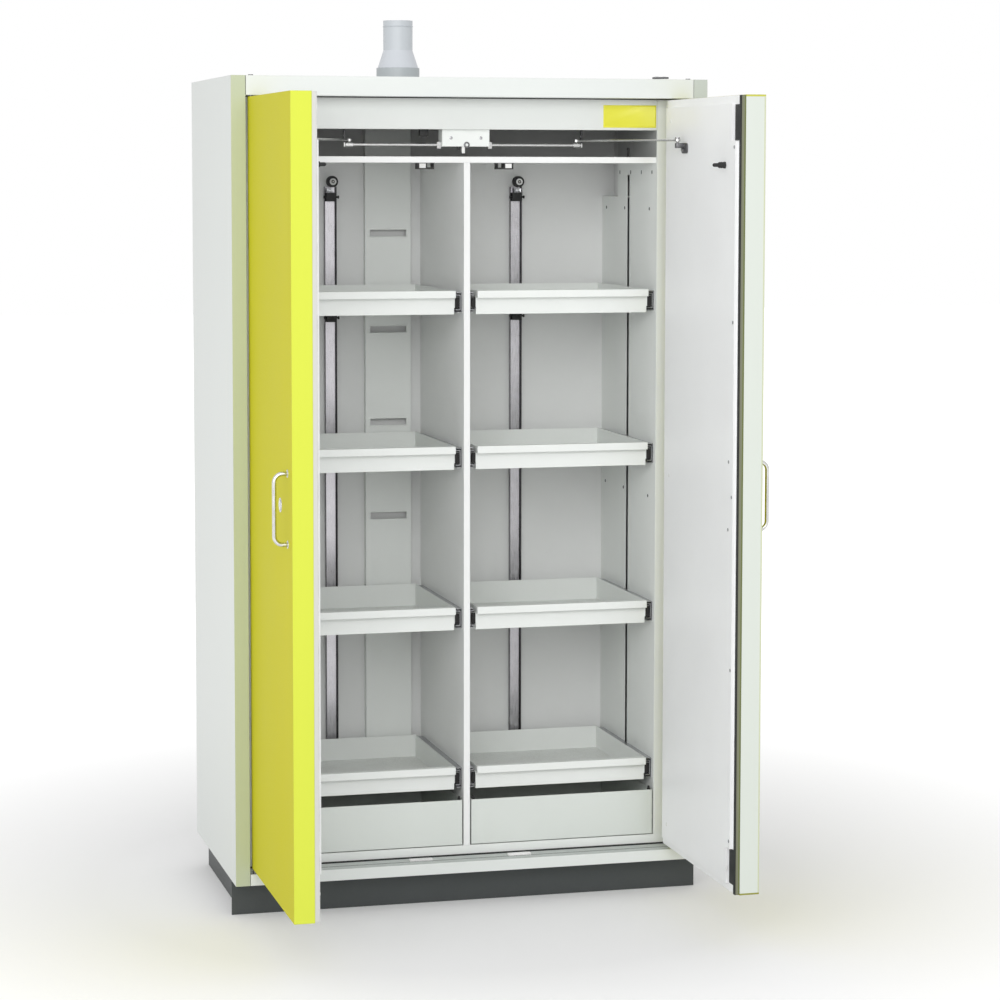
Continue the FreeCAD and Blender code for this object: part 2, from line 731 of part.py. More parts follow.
for word, side in SIDES:
    # Outer skin: a pan with a narrow flange turned in at the back
    skin = pan("leaf_" + word, mirror(side, leaf_in, leaf_x), *inset(0), [], d.sheet)
    mouth = block("leaf_mouth_" + word, mirror(side, leaf_in - 1, leaf_in + d.sheet + 1), *inset(FLANGE))

    # Core: board in the leaf, neck through the flange, first step, and plug with two notches
    core = fuse(
        "door_core_" + word,
        block("core_board_" + word, mirror(side, leaf_in + d.sheet, leaf_x - d.sheet), *inset(d.sheet)),
        block("core_neck_" + word, mirror(side, leaf_in, leaf_in + d.sheet), *inset(FLANGE)),
        block("core_layer_" + word, mirror(side, layer_x, leaf_in), *inset(d.layer_in)),
        block("core_plug_" + word, mirror(side, plug_x, layer_x), *inset(d.plug_in)),
    )
    plug_y, plug_z = inset(d.plug_in)
    notch_x = mirror(side, plug_x - 1, layer_x)
    notch_y = (plug_y[0] - 1, plug_y[0] + d.notch_w)
    notches = [
        block("notch_low_" + word, notch_x, notch_y, (plug_z[0] - 1, plug_z[0] + d.notch_h)),
        block("notch_high_" + word, notch_x, notch_y, (plug_z[1] - d.notch_h, plug_z[1] + 1)),
    ]

    # Holes for the hinge pins, and on the left door for the lock barrel
    holes = []
    for end_word, start in (("low", leaf_low - 1), ("high", leaf_top - 23)):
        holes.append(
            rod(
                "pin_hole_%s_%s" % (end_word, word), d.pin_r + d.running,
                (side * hinge_x, hinge_y, start), 24, "z",
            )
        )
    if word == "left":
        lock_y = leaf_front + d.lock_in
        holes.append(rod("lock_hole", d.lock_r + d.running, (-leaf_x - 1, lock_y, d.lock_z), 29, "x"))
    node("door_%s_skin" % word, cut("door_skin_" + word, skin, mouth, *holes))
    node("door_%s_core" % word, cut("door_core_" + word, core, *notches, *holes))

    # Seals on the first step: a strip along the free edge and two wide pads in the plug's notches
    seal_x = mirror(side, layer_x - d.seal_t, layer_x)
    edge_y, edge_z = inset(d.layer_in)
    strip_end = edge_y[0] + d.seal_w
    pad_y = (strip_end, plug_y[0] + d.notch_w - 2)
    pad_low = (plug_z[0] + 2, plug_z[0] + d.notch_h - 2)
    pad_high = (plug_z[1] - d.notch_h + 2, plug_z[1] - 2)
    seals = [
        block("seal_free_" + word, seal_x, (edge_y[0], strip_end), edge_z),
        block("seal_pad_low_" + word, seal_x, pad_y, pad_low),
        block("seal_pad_high_" + word, seal_x, pad_y, pad_high),
    ]
    node("door_%s_seals" % word, group("door_seals_" + word, *seals))

    # Link bracket with its pin, and the striker with its sleeve, on the inner face
    pin_y = hinge_y - d.link_pin_y
    plate = block(
        "bracket_plate_" + word, mirror(side, plug_x - 3, plug_x), (pin_y - 28, pin_y + 16),
        (d.link_z - 32, d.link_z - 7),
    )
    arm = block(
        "bracket_arm_" + word,
        mirror(side, d.link_pin_x - 6, plug_x - 3),
        (pin_y - 6, pin_y + 6),
        (d.link_z - 19, d.link_z - 7),
    )
    pin_at = (side * d.link_pin_x, pin_y)
    pin = rod("bracket_pin_" + word, d.axle_r, (*pin_at, d.link_z - 7), 12, "z")
    cap = rod("bracket_cap_" + word, 5, (*pin_at, d.link_z + 4), 3, "z")
    striker_y = leaf_back - d.striker_back
    turned_parts = []
    for part_word, radius, reach in (("tip", d.striker_r, d.striker_l), ("sleeve", 6.5, 17), ("base", 8, 2)):
        low, high = mirror(side, plug_x - reach, plug_x)
        turned_parts.append(
            rod("striker_%s_%s" % (part_word, word), radius, (low, striker_y, d.striker_z), high - low, "x")
        )
    hardware = group(
        "door_hardware_" + word,
        fuse("link_bracket_" + word, plate, arm, pin, cap),
        fuse("striker_" + word, *turned_parts),
    )
    node("door_%s_hardware" % word, hardware)

# Door handles: a round bar bent to a D, swept along legs, bends and grip
for word, side in SIDES:
    body = doc.addObject("PartDesign::Body", "handle_" + word)
    planes = {plane.Role: plane for plane in body.Origin.OriginFeatures}
    path = body.newObject("Sketcher::SketchObject", "handle_path_" + word)
    path.AttachmentSupport = [(planes["XZ_Plane"], "")]
    path.MapMode = "FlatFace"
    out, bend, rise = d.handle_out, d.handle_bend, d.handle_h / 2
    leg = out - bend
    corner = (rise - bend).value
    top_bend = FreeCAD.Vector(leg.value, corner, 0)
    low_bend = FreeCAD.Vector(leg.value, -corner, 0)
    up = FreeCAD.Vector(0, 0, 1)
    path.addGeometry(
        Part.LineSegment(FreeCAD.Vector(0, rise.value, 0), FreeCAD.Vector(leg.value, rise.value, 0))
    )
    path.addGeometry(Part.ArcOfCircle(Part.Circle(top_bend, up, bend.value), 0, math.pi / 2))
    path.addGeometry(
        Part.LineSegment(FreeCAD.Vector(out.value, corner, 0), FreeCAD.Vector(out.value, -corner, 0))
    )
    path.addGeometry(Part.ArcOfCircle(Part.Circle(low_bend, up, bend.value), -math.pi / 2, 0))
    path.addGeometry(
        Part.LineSegment(FreeCAD.Vector(leg.value, -rise.value, 0), FreeCAD.Vector(0, -rise.value, 0))
    )
    for first, first_end, second, second_end in (
        (0, 2, 1, 2), (1, 1, 2, 1), (2, 2, 3, 2), (3, 1, 4, 1),
    ):
        path.addConstraint(Sketcher.Constraint("Tangent", first, first_end, second, second_end))
    bound = [
        ("DistanceX", -1, 1, 0, 1, length(0)), ("DistanceY", -1, 1, 0, 1, rise),
        ("DistanceX", -1, 1, 4, 2, length(0)), ("DistanceY", -1, 1, 4, 2, -rise),
        ("DistanceX", -1, 1, 2, 1, out),
    ]
    for kind, *ends, value in bound:
        number = path.addConstraint(Sketcher.Constraint(kind, *ends, value.value))
        path.setExpression("Constraints[%d]" % number, value.text)
    path.addConstraint(Sketcher.Constraint("Horizontal", 0))
    path.addConstraint(Sketcher.Constraint("Horizontal", 4))
    for arc in (1, 3):
        number = path.addConstraint(Sketcher.Constraint("Radius", arc, bend.value))
        path.setExpression("Constraints[%d]" % number, bend.text)
    section = body.newObject("Sketcher::SketchObject", "handle_section_" + word)
    section.AttachmentSupport = [(planes["YZ_Plane"], "")]
    section.MapMode = "FlatFace"
    section.addGeometry(Part.Circle(FreeCAD.Vector(0, rise.value, 0), up, d.handle_r.value))
    number = section.addConstraint(Sketcher.Constraint("Radius", 0, d.handle_r.value))
    section.setExpression("Constraints[%d]" % number, d.handle_r.text)
    number = section.addConstraint(Sketcher.Constraint("DistanceY", -1, 1, 0, 3, rise.value))
    section.setExpression("Constraints[%d]" % number, rise.text)
    section.addConstraint(Sketcher.Constraint("PointOnObject", 0, 3, -2))
    doc.recompute()
    bar = body.newObject("PartDesign::AdditivePipe", "handle_bar_" + word)
    bar.Profile = section
    bar.Spine = (path, ["Edge%d" % edge for edge in range(1, 6)])
    body.Placement.Rotation = FreeCAD.Rotation(FreeCAD.Vector(0, 0, 1), 0 if side > 0 else 180)
    place(body, side * leaf_x, leaf_front + d.handle_in, d.handle_z)
    node("door_%s_handle" % word, body)

# Lock barrel in the left door, with its key slot
barrel = rod("lock_barrel_round", d.lock_r, (-leaf_x - 2, lock_y, d.lock_z), 28, "x")
key_slot = block(
    "lock_key_slot", (-leaf_x - 3, -leaf_x + 4), (lock_y - 1.2, lock_y + 1.2), (d.lock_z - 5, d.lock_z + 5)
)
node("lock_barrel", cut("lock_barrel", barrel, key_slot))

# Hinge pins: the lower ones carry the doors on a collar, the upper ones have a cap on the roof
pins = []
for word, side in SIDES:
    at = (side * hinge_x, hinge_y)
    lower_pin = rod("low_pin_" + word, d.pin_r, (*at, frame_low - 20), 40, "z")
    collar = rod("low_collar_" + word, 6.5, (*at, frame_low), leaf_low - frame_low - 0.1, "z")
    pins.append(fuse("low_pin_" + word, lower_pin, collar))
    upper_pin = rod("high_pin_" + word, d.pin_r, (*at, leaf_top - 18), body_top + 2 - (leaf_top - 18), "z")
    cap = rod("high_cap_" + word, 6, (*at, body_top), 2, "z")
    pins.append(fuse("high_pin_" + word, upper_pin, cap))
node("hinge_pins", group("hinge_pins", *pins))

# Links between the doors and the guide rods, and the shoes that slide on the guides
for word, side in SIDES:
    outer = FreeCAD.Vector(side * d.link_pin_x.value, (hinge_y - d.link_pin_y).value, 0)
    inner = FreeCAD.Vector(side * d.shoe_x.value, depth(d.guide_y).value, 0)
    run = inner - outer
    name = "link_" + word
    eyes = [
        rod(name + "_eye_out", 7, (side * d.link_pin_x, hinge_y - d.link_pin_y, d.link_z - 3), 6, "z"),
        rod(name + "_eye_in", 7, (side * d.shoe_x, depth(d.guide_y), d.link_z - 3), 6, "z"),
    ]
    stem = doc.addObject("Part::Cylinder", name + "_stem")
    stem.Radius = 2.5
    stem.Height = run.Length - 8
    turn = FreeCAD.Rotation(up, run)
    start = outer + run * (4 / run.Length)
    stem.Placement = FreeCAD.Placement(FreeCAD.Vector(start.x, start.y, d.link_z.value), turn)
    bind(stem, "Placement.Base.z", d.link_z)
    bores = [
        rod(
            name + "_bore_out", d.axle_r + d.running,
            (side * d.link_pin_x, hinge_y - d.link_pin_y, d.link_z - 4), 8, "z",
        ),
        rod(
            name + "_bore_in", d.axle_r + d.running,
            (side * d.shoe_x, depth(d.guide_y), d.link_z - 4), 8, "z",
        ),
    ]
    node(name, cut(name, fuse(name, *eyes, stem), *bores))

    sleeve_low, sleeve_high = mirror(side, d.shoe_x - 9, d.shoe_x + 9)
    sleeve = rod(
        "shoe_sleeve_" + word, 7, (sleeve_low, depth(d.guide_y), d.guide_z), sleeve_high - sleeve_low, "x"
    )
    stud = rod(
        "shoe_stud_" + word, d.axle_r, (side * d.shoe_x, depth(d.guide_y), d.guide_z + 4.5),
        d.link_z - d.guide_z - 8.5, "z",
    )
    bore = rod(
        "shoe_bore_" + word, d.guide_r + d.running, (sleeve_low - 1, depth(d.guide_y), d.guide_z),
        sleeve_high - sleeve_low + 2, "x",
    )
    node("shoe_" + word, cut("shoe_" + word, fuse("shoe_" + word, sleeve, stud), bore))

# Catches under the shelf, each with the hole that the striker swings into
catches = []
for word, side in SIDES:
    striker_x = leaf_x - d.striker_back
    case = block(
        "catch_case_" + word, mirror(side, striker_x - 12, striker_x + 30), (depth(86), depth(112)),
        (d.shelf_z - 16, d.shelf_z),
    )
    throat = block(
        "catch_hole_" + word, mirror(side, striker_x - 8.5, striker_x + 5.5), (depth(85), depth(113)),
        (d.striker_z - 5.5, d.striker_z + 5.5),
    )
    catches.append(cut("catch_" + word, case, throat))
node("door_catches", group("door_catches", *catches))

# Run-on plates on the sill, which take a closing door's lower edge
plates = [
    block("run_on_" + word, mirror(side, 98, 156), (depth(30), depth(44)), (frame_low, frame_low + 5))
    for word, side in SIDES
]
node("run_on_plates", group("run_on_plates", *plates))

# Plinth: front plate as wide as the body, sides, back, and a cross channel under the middle
plinth_x = half_w - d.plinth_side
plinth_back = depth(d.body_d - d.plinth_rear)
plinth_inner = depth(d.plinth_front + d.plinth_t)
bars = [
    block("plinth_front", (-half_w, half_w), (depth(d.plinth_front), plinth_inner), (0, d.plinth_h)),
    block(
        "plinth_back", (-plinth_x, plinth_x), (plinth_back - d.plinth_t, plinth_back), (0, d.plinth_h)
    ),
    pan(
        "plinth_cross", (-20, 20), (plinth_inner, plinth_back - d.plinth_t), (0, d.plinth_h),
        ["z+"], d.plinth_t,
    ),
]
for word, side in SIDES:
    bars.append(
        block(
            "plinth_" + word, mirror(side, plinth_x - d.plinth_t, plinth_x),
            (plinth_inner, plinth_back - d.plinth_t), (0, d.plinth_h),
        )
    )
node("plinth", group("plinth", *bars))

# Levelling feet inside the plinth
feet = []
for word, side in SIDES:
    for end_word, foot_y in (("front", d.foot_front), ("rear", d.foot_rear)):
        foot = lathe(
            "foot_%s_%s" % (word, end_word),
            [(0, 0), (22, 0), (22, 5), (8, 12), (6, 14), (6, d.plinth_h), (0, d.plinth_h)],
        )
        place(foot, side * d.foot_x, depth(foot_y), 0)
        feet.append(foot)
node("levelling_feet", group("levelling_feet", *feet))

# Exhaust spigot on the roof: collar, cone and pipe
spigot = lathe(
    "exhaust_spigot",
    [
        (d.collar_r - 5, 0),
        (d.collar_r, 0),
        (d.collar_r, d.collar_h),
        (d.cone_r, d.collar_h),
        (d.pipe_r, d.collar_h + d.cone_h),
        (d.pipe_r, d.collar_h + d.cone_h + d.pipe_h),
        (d.pipe_r - d.pipe_wall, d.collar_h + d.cone_h + d.pipe_h),
        (d.pipe_r - d.pipe_wall, d.collar_h + d.cone_h),
        (d.collar_r - 5, d.collar_h),
    ],
)
place(spigot, d.vent_x, depth(d.vent_y), body_top)
node("exhaust_spigot", spigot)

doc.recompute()

os.makedirs("parts", exist_ok=True)
for item in doc.Objects:
    if "Invalid" in item.State or "Error" in item.State:
        raise RuntimeError("%s failed: %s" % (item.Name, item.State))
labels = [item.Label for item in nodes]
if len(set(labels)) != len(labels) or len(labels) > 60:
    raise RuntimeError("%d sub-parts, with %d names" % (len(labels), len(set(labels))))
for item in nodes:
    shape = item.Shape
    if shape.isNull() or not shape.isValid() or not shape.Solids:
        raise RuntimeError("%s has no valid solid" % item.Label)
for item in nodes:
    item.Shape.exportStep(os.path.join("parts", item.Label + ".step"))
print("%d sub-parts, %d solids" % (len(nodes), sum(len(item.Shape.Solids) for item in nodes)))
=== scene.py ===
import math

import bmesh
import bpy
from mathutils import Matrix, Vector


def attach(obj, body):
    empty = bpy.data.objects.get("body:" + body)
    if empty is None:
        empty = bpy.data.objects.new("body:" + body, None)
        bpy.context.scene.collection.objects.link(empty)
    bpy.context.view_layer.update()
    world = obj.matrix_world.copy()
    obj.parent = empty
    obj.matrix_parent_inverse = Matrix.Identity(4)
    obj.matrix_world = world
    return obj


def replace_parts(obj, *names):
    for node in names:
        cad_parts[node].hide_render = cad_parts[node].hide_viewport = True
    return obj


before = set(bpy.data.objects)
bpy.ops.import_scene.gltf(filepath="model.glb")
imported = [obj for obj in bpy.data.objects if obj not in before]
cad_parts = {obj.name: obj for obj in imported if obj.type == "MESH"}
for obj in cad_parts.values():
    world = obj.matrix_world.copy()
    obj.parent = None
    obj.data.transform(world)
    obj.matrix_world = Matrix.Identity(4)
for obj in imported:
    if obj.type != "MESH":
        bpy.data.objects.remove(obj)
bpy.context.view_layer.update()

# Camera and studio. The cabinet stands on a white studio floor, seen by a long lens from its left,
# at about eye height. The light is a plain white surround with two large soft lamps, one in front
# and one to the left.
EYE = (-1.74463, -7.16407, 1.82262)
TURN, TILT, ROLL = -14.793, 4.884, 0.077
lens = bpy.data.cameras.new("Camera")
lens.sensor_width = 36
lens.lens = 103.845
lens.shift_y = -0.08
lens.clip_end = 200
camera = bpy.data.objects.new("Camera", lens)
bpy.context.scene.collection.objects.link(camera)
camera.matrix_world = (
    Matrix.Translation(EYE)
    @ Matrix.Rotation(math.radians(TURN), 4, "Z")
    @ Matrix.Rotation(math.radians(90 - TILT), 4, "X")
    @ Matrix.Rotation(math.radians(ROLL), 4, "Z")
)
bpy.context.scene.camera = camera
bpy.context.scene.view_settings.view_transform = "Standard"


def put(tree, kind, sockets=(), **settings):
    """Puts a node in a tree, and sets each input socket, or joins it to another node's output."""
    node = tree.nodes.new(kind)
    for name, value in settings.items():
        setattr(node, name, value)
    for name, value in dict(sockets).items():
        if isinstance(value, bpy.types.NodeSocket):
            tree.links.new(value, node.inputs[name])
        else:
            node.inputs[name].default_value = value
    return node


def maths(tree, kind, first, second):
    return put(tree, "ShaderNodeMath", {0: first, 1: second}, operation=kind).outputs[0]


def spread(tree, value, low, high, from_low=0.3, from_high=0.7):
    """A pattern's value, drawn out between two new ends."""
    return put(tree, "ShaderNodeMapRange", {
        "Value": value, "From Min": from_low, "From Max": from_high, "To Min": low, "To Max": high,
    }).outputs["Result"]


def seen_directly(tree):
    """1 for the camera's rays and for what metal and glass mirror, and 0 for the light itself."""
    rays = put(tree, "ShaderNodeLightPath").outputs
    either = maths(tree, "MAXIMUM", rays["Is Camera Ray"], rays["Is Glossy Ray"])
    return maths(tree, "MAXIMUM", either, rays["Is Transmission Ray"])


WHITE = (1, 1, 1, 1)
SURROUND_LIGHT = 0.74
surround = bpy.data.worlds.new("Studio")
bpy.context.scene.world = surround
surround.use_nodes = True
tree = surround.node_tree
tree.nodes.clear()
lit = put(tree, "ShaderNodeBackground", {"Color": WHITE, "Strength": SURROUND_LIGHT}).outputs[0]
shown = put(tree, "ShaderNodeBackground", {"Color": WHITE, "Strength": 1.0}).outputs[0]
either = put(tree, "ShaderNodeMixShader", {0: seen_directly(tree), 1: lit, 2: shown})
put(tree, "ShaderNodeOutputWorld", {"Surface": either.outputs[0]})

# Studio floor: a matt light grey plane that keeps the cabinet's shadow. To the eye it turns white
# with its distance from the cabinet, and so runs into the white surround.
FLOOR_SIZE, FLOOR_LEVEL = 60, -0.0005
FLOOR_GREY = (0.8, 0.8, 0.8, 1)
GLOW, GLOW_REACH = (0.12, 0.6), (0.9, 2.8)
bpy.ops.object.select_all(action="DESELECT")
bpy.ops.mesh.primitive_plane_add(size=FLOOR_SIZE, location=(0, 0, FLOOR_LEVEL))
floor = bpy.context.object
floor.name = "studio_floor"
floor_white = bpy.data.materials.new("studio_floor")
floor_white.use_nodes = True
tree = floor_white.node_tree
tree.nodes.clear()
matt = put(tree, "ShaderNodeBsdfDiffuse", {"Color": FLOOR_GREY}).outputs[0]
at = put(tree, "ShaderNodeTexCoord").outputs["Object"]
away = put(tree, "ShaderNodeVectorMath", {0: at}, operation="LENGTH").outputs["Value"]
glow = maths(tree, "MULTIPLY", seen_directly(tree), spread(tree, away, *GLOW, *GLOW_REACH))
light = put(tree, "ShaderNodeEmission", {"Color": WHITE, "Strength": glow}).outputs[0]
both = put(tree, "ShaderNodeAddShader", {0: matt, 1: light})
put(tree, "ShaderNodeOutputMaterial", {"Surface": both.outputs[0]})
floor.data.materials.append(floor_white)

for name, place, aim, width, height, power in (
    ("front_lamp", (-1.3, -5.4, 2.8), (0, 0, 1.0), 3.4, 2.6, 100),
    ("left_lamp", (-4.4, -4.2, 2.4), (0, -0.3, 1.0), 2.4, 2.4, 47),
):
    lamp = bpy.data.lights.new(name, "AREA")
    lamp.shape = "RECTANGLE"
    lamp.size = width
    lamp.size_y = height
    lamp.energy = power
    stand = bpy.data.objects.new(name, lamp)
    bpy.context.scene.collection.objects.link(stand)
    stand.location = place
    stand.rotation_mode = "QUATERNION"
    stand.rotation_quaternion = (Vector(aim) - Vector(place)).to_track_quat("-Z", "Y")


# Outer shell: steel sheet, 1.2 mm thick, folded into two side panels, a roof and a base pan. Its
# light grey powder coat has a fine texture and lies a little thinner and lighter on the folds, and
# a little dust lies on what is flat.
def colour(red, green, blue):
    """A display colour of 0 to 255 as the linear colour that a shader takes."""
    parts = [value / 255 for value in (red, green, blue)]
    linear = [p / 12.92 if p <= 0.04045 else ((p + 0.055) / 1.055) ** 2.4 for p in parts]
    return (*linear, 1.0)


def paler(tint, times):
    """A colour with each part so many times as light, up to white."""
    return (*[min(1, part * times) for part in tint[:3]], 1)


def new_group(name, takes, gives):
    """An effect group with named inputs and outputs, and the sockets that its inputs come from."""
    group = bpy.data.node_groups.new(name, "ShaderNodeTree")
    kinds = {"colour": "NodeSocketColor", "value": "NodeSocketFloat", "vector": "NodeSocketVector"}
    for label, (kind, value) in takes.items():
        socket = group.interface.new_socket(label, in_out="INPUT", socket_type=kinds[kind])
        socket.default_value = value
    for label, kind in gives.items():
        group.interface.new_socket(label, in_out="OUTPUT", socket_type=kinds[kind])
    return group, put(group, "NodeGroupInput").outputs


def close_group(group, **results):
    """Joins values to a group's named outputs."""
    put(group, "NodeGroupOutput", results)


def use_group(tree, group, **values):
    """Puts an effect group in a material with its own values, and gives its outputs."""
    return put(tree, "ShaderNodeGroup", values, node_tree=group).outputs


def noise(tree, where, scale, detail=2.0, roughness=0.5):
    """The grey value of a noise pattern."""
    return put(tree, "ShaderNodeTexNoise", {
        "Vector": where, "Scale": scale, "Detail": detail, "Roughness": roughness,
    }).outputs["Fac"]


def shade(tree, tint, value):
    """A colour made lighter or darker by a value round 1."""
    return put(tree, "ShaderNodeHueSaturation", {"Color": tint, "Value": value}).outputs["Color"]


def blend_colour(tree, amount, first, second):
    """A mix of two colours. They go into the mixing node's inputs number 6 and 7."""
    sockets = {0: amount, 6: first, 7: second}
    return put(tree, "ShaderNodeMix", sockets, data_type="RGBA").outputs[2]


# Powder coat: a fine grain on soft orange peel, as sprayed and baked powder has. A slow cloud
# changes its tone and gloss a little from place to place.
PEEL_TO_GRAIN = 0.28
powder, given = new_group(
    "powder coat",
    {"Colour": ("colour", (0.7, 0.7, 0.7, 1)), "Grain": ("value", 900.0), "Gloss": ("value", 0.42)},
    {"Colour": "colour", "Roughness": "value", "Height": "value"},
)
at = put(powder, "ShaderNodeTexCoord").outputs["Object"]
fine = noise(powder, at, given["Grain"])
peel = noise(powder, at, maths(powder, "MULTIPLY", given["Grain"], PEEL_TO_GRAIN), detail=1.0)
cloud = noise(powder, at, 2.4, detail=4.0, roughness=0.55)
tone = maths(
    powder, "MULTIPLY", spread(powder, cloud, 0.985, 1.012), spread(powder, fine, 0.985, 1.012),
)
rough = maths(powder, "ADD", given["Gloss"], spread(powder, cloud, -0.035, 0.035))
rough = maths(powder, "ADD", rough, spread(powder, peel, -0.04, 0.04))
height = maths(powder, "ADD", maths(powder, "MULTIPLY", fine, 0.45), peel)
close_group(powder, Colour=shade(powder, given["Colour"], tone), Roughness=rough, Height=height)

# Fold edge: the mask and the rounded normal of an edge where sheet is folded or cut. The mask is
# broken up, because an edge wears in patches.
folds, given = new_group(
    "fold edge", {"Radius": ("value", 0.001), "Wear": ("value", 0.5)},
    {"Mask": "value", "Normal": "vector"},
)
rounded = put(folds, "ShaderNodeBevel", {"Radius": given["Radius"]}, samples=4).outputs["Normal"]
flat = put(folds, "ShaderNodeNewGeometry").outputs["Normal"]
turn = put(folds, "ShaderNodeVectorMath", {0: rounded, 1: flat}, operation="DOT_PRODUCT")
edge = spread(folds, turn.outputs["Value"], 1.0, 0.0, from_low=0.72, from_high=0.985)
at = put(folds, "ShaderNodeTexCoord").outputs["Object"]
broken = noise(folds, at, 60.0, detail=4.0, roughness=0.65)
broken = spread(folds, broken, 0.0, 1.0, from_low=0.45, from_high=0.62)
edge = maths(folds, "MULTIPLY", edge, broken)
close_group(folds, Mask=maths(folds, "MULTIPLY", edge, given["Wear"]), Normal=rounded)

# Settled dust: thin grey drifts on what looks upwards, which take the gloss off the surface below.
# They lie where a slow and a fine pattern are both strong.
DUST_GREY = colour(176, 172, 164)
dust, given = new_group("settled dust", {"Amount": ("value", 0.3)}, {"Mask": "value"})
facing = put(dust, "ShaderNodeNewGeometry").outputs["Normal"]
facing = put(dust, "ShaderNodeSeparateXYZ", {0: facing}).outputs["Z"]
lying = spread(dust, facing, 0.0, 1.0, from_low=0.75, from_high=1.0)
at = put(dust, "ShaderNodeTexCoord").outputs["Object"]
slow = noise(dust, at, 7.0, detail=5.0, roughness=0.6)
drift = maths(dust, "MULTIPLY", slow, noise(dust, at, 260.0))
drift = spread(dust, drift, 0.0, 1.0, from_low=0.12, from_high=0.42)
lying = maths(dust, "MULTIPLY", lying, drift)
close_group(dust, Mask=maths(dust, "MULTIPLY", lying, given["Amount"]))


def new_finish(name, metallic=0.0, specular=0.5):
    """A material of one Principled shader, its tree, and that shader."""
    finish = bpy.data.materials.new(name)
    finish.use_nodes = True
    shader = finish.node_tree.nodes["Principled BSDF"]
    shader.inputs["Metallic"].default_value = metallic
    shader.inputs["Specular IOR Level"].default_value = specular
    return finish, finish.node_tree, shader


def join(tree, shader, tint, rough, height, depth, strength, normal=None):
    """Joins a colour, a roughness and a relief of the given depth in metres to a shader."""
    tree.links.new(tint, shader.inputs["Base Color"])
    tree.links.new(rough, shader.inputs["Roughness"])
    relief = {"Height": height, "Distance": depth, "Strength": strength}
    bump = put(tree, "ShaderNodeBump", relief)
    if normal is not None:
        tree.links.new(normal, bump.inputs["Normal"])
    tree.links.new(bump.outputs["Normal"], shader.inputs["Normal"])


def painted(name, tint, gloss=0.42, grain=900.0, depth=0.00012, dusty=0.3, specular=0.5):
    """Powder coated sheet, with thinner paint on its folds and dust on what lies flat."""
    finish, tree, shader = new_finish(name, specular=specular)
    coat = use_group(tree, powder, Colour=tint, Gloss=gloss, Grain=grain)
    fold = use_group(tree, folds, Radius=0.001, Wear=0.5)
    lying = use_group(tree, dust, Amount=dusty)["Mask"]
    lighter = blend_colour(tree, fold["Mask"], coat["Colour"], paler(tint, times=1.12))
    dulled = blend_colour(tree, lying, lighter, DUST_GREY)
    rough = maths(tree, "ADD", coat["Roughness"], maths(tree, "MULTIPLY", lying, 0.5))
    join(tree, shader, dulled, rough, coat["Height"], depth, strength=0.35, normal=fold["Normal"])
    return finish


def between(tree, value, low, high, blur=0.0002):
    """1 where a value lies between two ends, and 0 elsewhere."""
    above = spread(tree, value, 0.0, 1.0, low - blur, low + blur)
    below = spread(tree, value, 1.0, 0.0, high - blur, high + blur)
    return maths(tree, "MULTIPLY", above, below)


def tint_place(finish, *layers):
    """Paints other tints on a finish, each between the ends of its X, Y and Z ranges in metres."""
    tree = finish.node_tree
    shader = tree.nodes["Principled BSDF"]
    at = put(tree, "ShaderNodeTexCoord").outputs["Object"]
    at = put(tree, "ShaderNodeSeparateXYZ", {0: at}).outputs
    base = shader.inputs["Base Color"].links[0].from_socket
    for tint, *ranges in layers:
        mask = 1.0
        for axis, (low, high) in zip("XYZ", ranges):
            mask = maths(tree, "MULTIPLY", mask, between(tree, at[axis], low, high))
        base = blend_colour(tree, mask, base, tint)
    tree.links.new(base, shader.inputs["Base Color"])
    return finish


def dress(finish, *names):
    """Gives CAD nodes their finish."""
    for name in names:
        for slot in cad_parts[name].material_slots:
            slot.material = finish


# Tints of the shell, as painted shade: the side panels' narrow front folds and the sill's flat top
# are painted a little darker than the rest. The left fold also has a touch of green, as a painted
# reflection of the yellow door that stands open beside it.
ANY = (-9.0, 9.0)
FRONT_FOLD, LEFT_SIDE, RIGHT_SIDE = (-0.309, -0.3065), (-0.6, -0.55), (0.55, 0.6)
SILL_Y, SILL_TOP = (-0.3078, -0.2), (0.1136, 0.1165)
shell_paint = painted("shell_paint", colour(228, 232, 229), gloss=0.45)
shell_shaded_folds = tint_place(
    shell_paint.copy(), (colour(190, 198, 170), LEFT_SIDE, FRONT_FOLD, ANY),
    (colour(196, 203, 197), RIGHT_SIDE, FRONT_FOLD, ANY),
)
sill_shaded = tint_place(shell_paint.copy(), (colour(196, 201, 198), ANY, SILL_Y, SILL_TOP))
dress(shell_shaded_folds, "side_panel_left", "side_panel_right")
dress(shell_paint, "top_panel")
dress(sill_shaded, "bottom_panel")


# Back sheet: one thin sheet with the shell's powder coat, which closes the cabinet at the rear. Its
# middle stands back from a flat rim, and three fields are pressed into it to keep it stiff. It
# takes the place of the plain CAD panel.
ALONG = 0.9
MERGE_WITHIN = 1e-6
BEVEL_ANGLE, SMOOTH_ANGLE = math.radians(38), math.radians(36)


def axis_of(side):
    """The number of an axis, and 1 or -1, for a side such as X or -X."""
    return "XYZ".index(side[-1]), -1 if side[0] == "-" else 1


def begin(kind, **sizes):
    """Adds a primitive, alone in the selection, with its place in its mesh, open for editing."""
    bpy.ops.object.select_all(action="DESELECT")
    getattr(bpy.ops.mesh, "primitive_%s_add" % kind)(**sizes)
    bpy.ops.object.transform_apply(location=True, rotation=True, scale=True)
    bpy.ops.object.mode_set(mode="EDIT")
    bpy.ops.mesh.select_all(action="SELECT")
    return bpy.context.object


def block(x, y, z):
    """A block between the ends of its X, Y and Z in millimetres, open for editing."""
    middle = [(low + high) / 2 / 1000 for low, high in (x, y, z)]
    lengths = [(high - low) / 1000 for low, high in (x, y, z)]
    return begin("cube", size=1, location=middle, scale=lengths)


